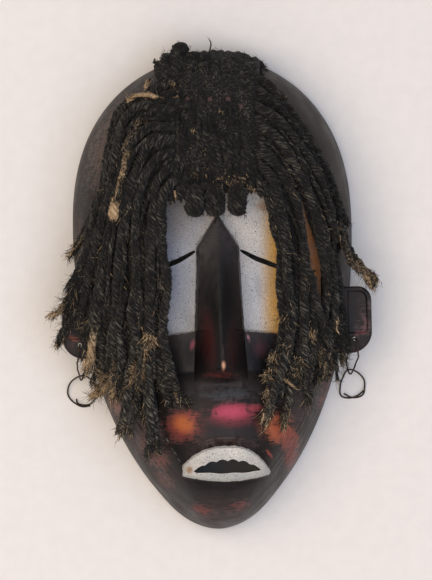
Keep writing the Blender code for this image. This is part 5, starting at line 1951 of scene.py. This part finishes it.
        c, d = index[1:, 1:].ravel(), index[1:, :-1].ravel()
        size = columns * rows
        faces = [np.stack([a, b, c, d], axis=1), np.stack([d, c, b, a], axis=1) + size]
        for edge in (index[0], index[:, -1], index[-1][::-1], index[:, 0][::-1]):
            faces.append(np.stack([edge[:-1], edge[:-1] + size, edge[1:] + size, edge[1:]], axis=1))
        patch = np.clip(0.16 * ease(0.16, 0.0, v) * (0.3 + 1.6 * lattice_noise(foot, 5.0 * MM, 44)), 0.0, 1.0)
        bundle = HairBundle()
        bundle.add(verts, np.vstack(faces), verts * 1.0, np.concatenate([patch, patch]))
        rng = np.random.default_rng(77)
        pick = rng.integers(0, size, self.pad_fibres)
        heads = normal[pick] * 0.15 + rng.normal(0.0, 0.5, (len(pick), 3)) + np.array([0.0, -0.6, 0.0])
        self.fibres.add_to(bundle, upper[pick], heads, rng.uniform(1.5, 5.0, len(pick)) * MM,
                           np.clip(patch[pick] + rng.normal(0.0, 0.14, len(pick)), 0.0, 1.0), rng)
        self._strands_on_pad(bundle, tacks, rng)
        return bundle.to_object("crown_pad")

    def _strands_on_pad(self, bundle: HairBundle, tacks: Array, rng: np.random.Generator) -> None:
        """Short matted strands that run down and outward over the pad, clear of the tacks.

        Args:
            bundle: collects them.
            tacks: the tacks' places on the plan.
            rng: the seeded random numbers.
        """
        for number in range(self.pad_strands):
            x = rng.uniform(-1.0, 1.0) * 0.92 * self.pad_half
            y = rng.uniform(0.42, 0.90) * FACE.crown
            length = rng.uniform(18.0, 40.0) * MM
            steps = np.linspace(0.0, 1.0, 6)
            plan = np.stack([x * (1.0 + 0.25 * steps) + 1.2 * MM * np.sin(4.0 * steps + number),
                             np.maximum(y - length * steps, 0.29 * FACE.crown)], axis=1)
            gaps = np.hypot(plan[:, None, 0] - tacks[None, :, 0], plan[:, None, 1] - tacks[None, :, 1])
            if gaps.min() < 4.6 * MM:
                continue
            radius = rng.uniform(1.0, 1.9) * MM
            route, _ = self.guides.laid(plan, self.guides.gap + self.pad_thickness + 0.2 * radius)
            plait = Plait(radius, pitch=0.009, strand_count=2, sides=8, step=0.0013, wander=0.0008)
            line = plait.add_to(bundle, route, (0.4, 1.0, 1.05, 0.9, 0.4), (0.0, 0.05, 0.0), 700 + number)
            self._fuzz(bundle, line, radius, np.zeros(len(line)), rng, self.pad_strand_fuzz)


# Tacks and earrings


@dataclass
class Tacks:
    """Four small nails that hold the pad, with domed heads."""

    places: tuple[Plan, ...] = ((-0.19, 0.75), (-0.03, 0.745), (0.10, 0.745), (0.19, 0.70))
    clearance: float = 0.0003
    head_radius: float = 0.0019
    head_height: float = 0.0012
    shank_radius: float = 0.0007
    shank_length: float = 0.0115

    def plan_places(self) -> list[Plan]:
        """Where the tacks are on the plan, in metres."""
        return [(across * FACE.half, along * FACE.crown) for across, along in self.places]

    def build(self, number: int, guides: HairGuides) -> Item:
        """One tack: a dome over a shank, its head a little off round.

        Args:
            number: which tack, from 1.
            guides: gives the place on the hair.

        Returns:
            The tack, in the mask's own frame.
        """
        x, y = self.plan_places()[number - 1]
        places, normals = guides.laid(np.array([[x, y]]), guides.gap + Hair.pad_thickness + self.clearance)
        place, normal = Vector(places[0]), Vector(normals[0])
        deselect_all()
        bpy.ops.mesh.primitive_uv_sphere_add(segments=24, ring_count=14, radius=self.head_radius)
        tack = bpy.context.object
        tack.name = tack.data.name = "nail_" + str(number)
        bpy.ops.object.mode_set(mode="EDIT")
        bpy.ops.mesh.select_all(action="SELECT")
        bpy.ops.mesh.bisect(plane_co=(0.0, 0.0, 0.0), plane_no=(0.0, 0.0, 1.0), use_fill=True,
                            clear_inner=True)
        bpy.ops.mesh.inset(thickness=self.head_radius - self.shank_radius, depth=0.0)
        bpy.ops.mesh.extrude_region_move(TRANSFORM_OT_translate={"value": (0.0, 0.0, -self.shank_length)})
        bpy.ops.mesh.select_all(action="SELECT")
        bpy.ops.mesh.normals_make_consistent(inside=False)
        bpy.ops.object.mode_set(mode="OBJECT")
        spots = get_places(tack.data)
        above = spots[:, 2] > 0.0
        spots[above, 2] *= self.head_height / self.head_radius
        spots[above, 2] += 0.08 * MM * lattice_noise(spots[above], 0.9 * MM, number)
        set_places(tack.data, spots)
        turn = Vector((0.0, 0.0, 1.0)).rotation_difference(normal).to_matrix().to_4x4()
        tack.data.transform(Matrix.Translation(place) @ turn)
        return tack


@dataclass
class Earrings:
    """A loop of wire through each lobe, and a bent ring of wire that hangs in it."""

    wire: float = 0.00055
    hook_drop: float = 0.0138
    # Each ring's bends from its link, in millimetres; the ends cross
    left_ring: tuple[Plan, ...] = (
        (-5, -15.4), (-3.6, -18.6), (3, -19.6), (7.4, -16), (8.6, -10.5), (6.4, -4), (0.6, 0.3), (-6, -1.6),
        (-10, -6.5), (-10.4, -12.5), (-7, -17.4), (-1, -20.6), (4.5, -20.2))
    right_ring: tuple[Plan, ...] = (
        (11, -13.5), (5.5, -17.8), (0, -19), (-5, -17.2), (-5.6, -12), (-3.6, -4.6), (0, 0.2), (5.5, -1.2),
        (10.2, -5.6), (11, -11.6), (9.6, -17), (3, -18.8), (-3, -15.8))

    def _wire_piece(self, name: str, knots: Array, closed: bool = False) -> Item:
        """Sweep the wire along knots.

        Args:
            name: the piece's name.
            knots: rows of x, y, z.
            closed: whether the ends join.

        Returns:
            A mesh object.
        """
        if closed:
            knots = np.vstack([knots, knots[0]])
        line = smooth_path(knots, 0.6 * MM)
        if closed:
            line = line[:-1]
        wobble = 0.16 * MM * np.stack([lattice_noise(line, 5.0 * MM, seed) for seed in (81, 82, 83)], axis=1)
        line = line + wobble * np.array([1.0, 1.0, 0.3])
        return swept(name, line, closed, {"dimensions": "3D", "bevel_depth": self.wire,
                                          "bevel_resolution": BEVEL_STEPS, "use_fill_caps": not closed})

    def build_hook(self, side: Side, ears: CarvedBody) -> Item:
        """The loop through one lobe.

        Args:
            side: which ear.
            ears: gives the lobe's hole.

        Returns:
            The loop, in the mask's own frame.
        """
        hole_x, hole_y = ears.lobe_hole_place()
        w = self.wire
        front = ears.ear_front + 3.0 * w
        back = ears.ear_front - ears.ear_thickness - 3.0 * w
        lobe = ears.lobe_hole_to_tip + 3.0 * w
        foot = ears.lobe_hole_to_tip + self.hook_drop
        knots = [
            # Out of the hole and down the front of the lobe
            (0.0, 0.0, 0.5 * (front + back)), (0.4 * w, -0.4 * w, front - 1.8 * w),
            (2.2 * w, -6.4 * w, front + 3.6 * w), (3.3 * w, 1.8 * w - lobe, front + 1.1 * w),
            (4.2 * w, -1.5 * w - lobe, front - 9.1 * w),
            (2.9 * w, -lobe - 0.35 * self.hook_drop, 0.55 * front),
            # Round the foot, where the ring hangs
            (0.4 * w, 5.5 * w - foot, 0.39 * front), (-1.8 * w, -0.4 * w - foot, 13.1 * w),
            (-4.0 * w, -foot, 7.3 * w), (-5.3 * w, 3.6 * w - foot, 4.4 * w),
            (-6.2 * w, 7.6 * w - foot, 7.3 * w), (-7.6 * w, 12.0 * w - foot, 16.4 * w),
            # Up behind the lobe and back into the hole
            (-8.0 * w, -3.6 * w - lobe, back - 9.1 * w), (-5.5 * w, 5.5 * w - lobe, back - 1.8 * w),
            (-2.2 * w, -5.5 * w, back - 2.2 * w), (0.0, -0.4 * w, back + 1.8 * w),
        ]
        places = np.array([(side.value * (hole_x + x), hole_y + y, z) for x, y, z in knots])
        return self._wire_piece("hook_" + side.name.lower(), places, closed=True)

    def build_ring(self, side: Side, ears: CarvedBody) -> Item:
        """The bent ring that hangs in one loop.

        Args:
            side: which ear.
            ears: gives the lobe's hole.

        Returns:
            The ring, in the mask's own frame.
        """
        hole_x, hole_y = ears.lobe_hole_place()
        link_x = side.value * (hole_x - 5.3 * self.wire)
        link_y = hole_y - ears.lobe_hole_to_tip - self.hook_drop + 3.8 * self.wire
        plan = self.left_ring if side is Side.LEFT else self.right_ring
        low = self.wire + 0.3 * MM
        knots = []
        for index, (x, y) in enumerate(plan):
            down = min(1.0, -y / 19.0)
            end = min(index, len(plan) - 1 - index) / 2.0
            over = 2.4 * self.wire * max(0.0, 1.0 - end) if index < 3 else 0.0
            knots.append((link_x + x * MM, link_y + y * MM, low + (5.0 * MM - low) * (1.0 - down) + over))
        return self._wire_piece("ring_" + side.name.lower(), np.array(knots))


# Floor, light and camera


@dataclass(frozen=True)
class SoftLight:
    """One square soft light, aimed at the mask; its power in watts."""

    name: str
    place: tuple[float, float, float]
    size: float
    power: float
    colour: str

    def build(self) -> None:
        """Put the light into the scene."""
        data = bpy.data.lights.new(self.name, "AREA")
        data.shape = "SQUARE"
        data.size = self.size
        data.energy = self.power
        data.color = linear(self.colour)
        lamp = bpy.data.objects.new(self.name, data)
        lamp.location = self.place
        lamp.rotation_euler = (-Vector(self.place)).to_track_quat("-Z", "Y").to_euler()
        bpy.context.scene.collection.objects.link(lamp)


@dataclass(frozen=True)
class Studio:
    """A pale floor, soft light from the upper left and a long lens from a little left of square."""

    lights: tuple[SoftLight, ...] = (
        SoftLight("key_window", (-0.72, 0.12, 2.00), 1.4, 23.2, "#ffeedc"),
        SoftLight("fill_window", (0.62, -0.12, 2.35), 1.6, 19.2, "#c6daff"),
        SoftLight("foot_fill", (0.0, -1.1, 1.6), 1.5, 7.2, "#fff2e6"),
    )
    floor_side: float = 6.0
    air: str = "#f3f3f5"
    air_strength: float = 0.38
    sensor_mm: float = 36.0
    aim_height: float = 0.030
    distance: float = 9.0
    frame_height: float = 0.3912
    scale_height: float = 0.045
    turn_left: float = 2.6
    roll: float = 1.3
    aim: Plan = (0.0003, -0.0407)

    def build(self) -> None:
        """Make the floor, the world, the lights and the camera."""
        self._floor()
        self._world()
        for light in self.lights:
            light.build()
        self._camera()

    def _floor(self) -> None:
        """A large plain floor with the faint unevenness of plaster."""
        deselect_all()
        bpy.ops.mesh.primitive_grid_add(x_subdivisions=4, y_subdivisions=4, size=self.floor_side)
        floor = bpy.context.object
        floor.name = "floor"
        floor.data.materials.append(MattPlaster().material())

    def _world(self) -> None:
        """Even, weak light from all round."""
        world = bpy.data.worlds.new("studio_air")
        bpy.context.scene.world = world
        world.use_nodes = True
        background = world.node_tree.nodes["Background"]
        background.inputs["Color"].default_value = (*linear(self.air), 1.0)
        background.inputs["Strength"].default_value = self.air_strength

    def _camera(self) -> None:
        """A camera that looks down on the mask as the photograph looks at it."""
        turn, roll = math.radians(self.turn_left), math.radians(self.roll)
        back = Vector((-math.sin(turn), 0.0, math.cos(turn)))
        right = Vector((math.cos(turn), 0.0, math.sin(turn)))
        up = Vector((0.0, 1.0, 0.0))
        target = SHIFT + Vector((0.0, 0.0, self.aim_height)) + right * self.aim[0] + up * self.aim[1]
        seen_up = (up * math.cos(roll) + right * math.sin(roll)).normalized()
        seen_right = seen_up.cross(back).normalized()
        data = bpy.data.cameras.new("photo_camera")
        data.sensor_fit = "VERTICAL"
        data.sensor_height = self.sensor_mm
        data.lens = self.sensor_mm * self.distance / self.frame_height
        data.clip_end = 4.0 * self.distance
        camera = bpy.data.objects.new("photo_camera", data)
        place = target + back * (self.distance + self.scale_height - self.aim_height)
        turned = Matrix((seen_right, seen_up, back)).transposed().to_4x4()
        camera.matrix_world = Matrix.Translation(place) @ turned
        bpy.context.scene.collection.objects.link(camera)
        bpy.context.scene.camera = camera


def main() -> None:
    """Build every piece in order."""
    logging.basicConfig(level=logging.INFO, format="%(message)s")
    Studio().build()
    carved = CarvedBody()
    wood = PaintedWood().material()
    finish_piece(carved.build(), wood, Stuff.WOOD, ["mask_body"], 38.0)
    hair = Hair()
    felt = MattedHair().material()
    finish_piece(hair.build_pad(), felt, Stuff.HAIR, ["hair_pad"])
    for side, locks in ((Side.LEFT, hair.guides.left_locks), (Side.RIGHT, hair.guides.right_locks)):
        for number in range(1, len(locks) + 1):
            node = "hair_" + side.name.lower() + "_" + str(number).zfill(2)
            finish_piece(hair.build_lock(side, number), felt, Stuff.HAIR, [node])
    for side in Side:
        for piece in hair.build_undercoat(side):
            finish_piece(piece, felt, Stuff.HAIR, [])
    for label, across in (("left", -0.16), ("middle", -0.02), ("right", 0.14)):
        finish_piece(hair.build_stub(label, across), felt, Stuff.HAIR, ["forehead_lock_" + label])
    for piece in hair.build_loose():
        finish_piece(piece, felt, Stuff.HAIR, [])
    nail = OldIron("rusty_tack_steel", "#4a3c3a", "#4e3836", 0.9, 0.55).material()
    tacks = Tacks()
    for number in range(1, len(tacks.places) + 1):
        finish_piece(tacks.build(number, hair.guides), nail, Stuff.TACK, ["tack_" + str(number)], 50.0)
    iron = OldIron("browned_iron_wire", "#3c3630", "#4a3222", 0.6).material()
    rings = Earrings()
    for side in Side:
        label = side.name.lower()
        finish_piece(rings.build_hook(side, carved), iron, Stuff.WIRE, ["earring_hook_" + label])
        finish_piece(rings.build_ring(side, carved), iron, Stuff.WIRE, ["earring_ring_" + label])
    bpy.context.scene.view_settings.view_transform = "Standard"


if __name__ == "__main__":
    main()
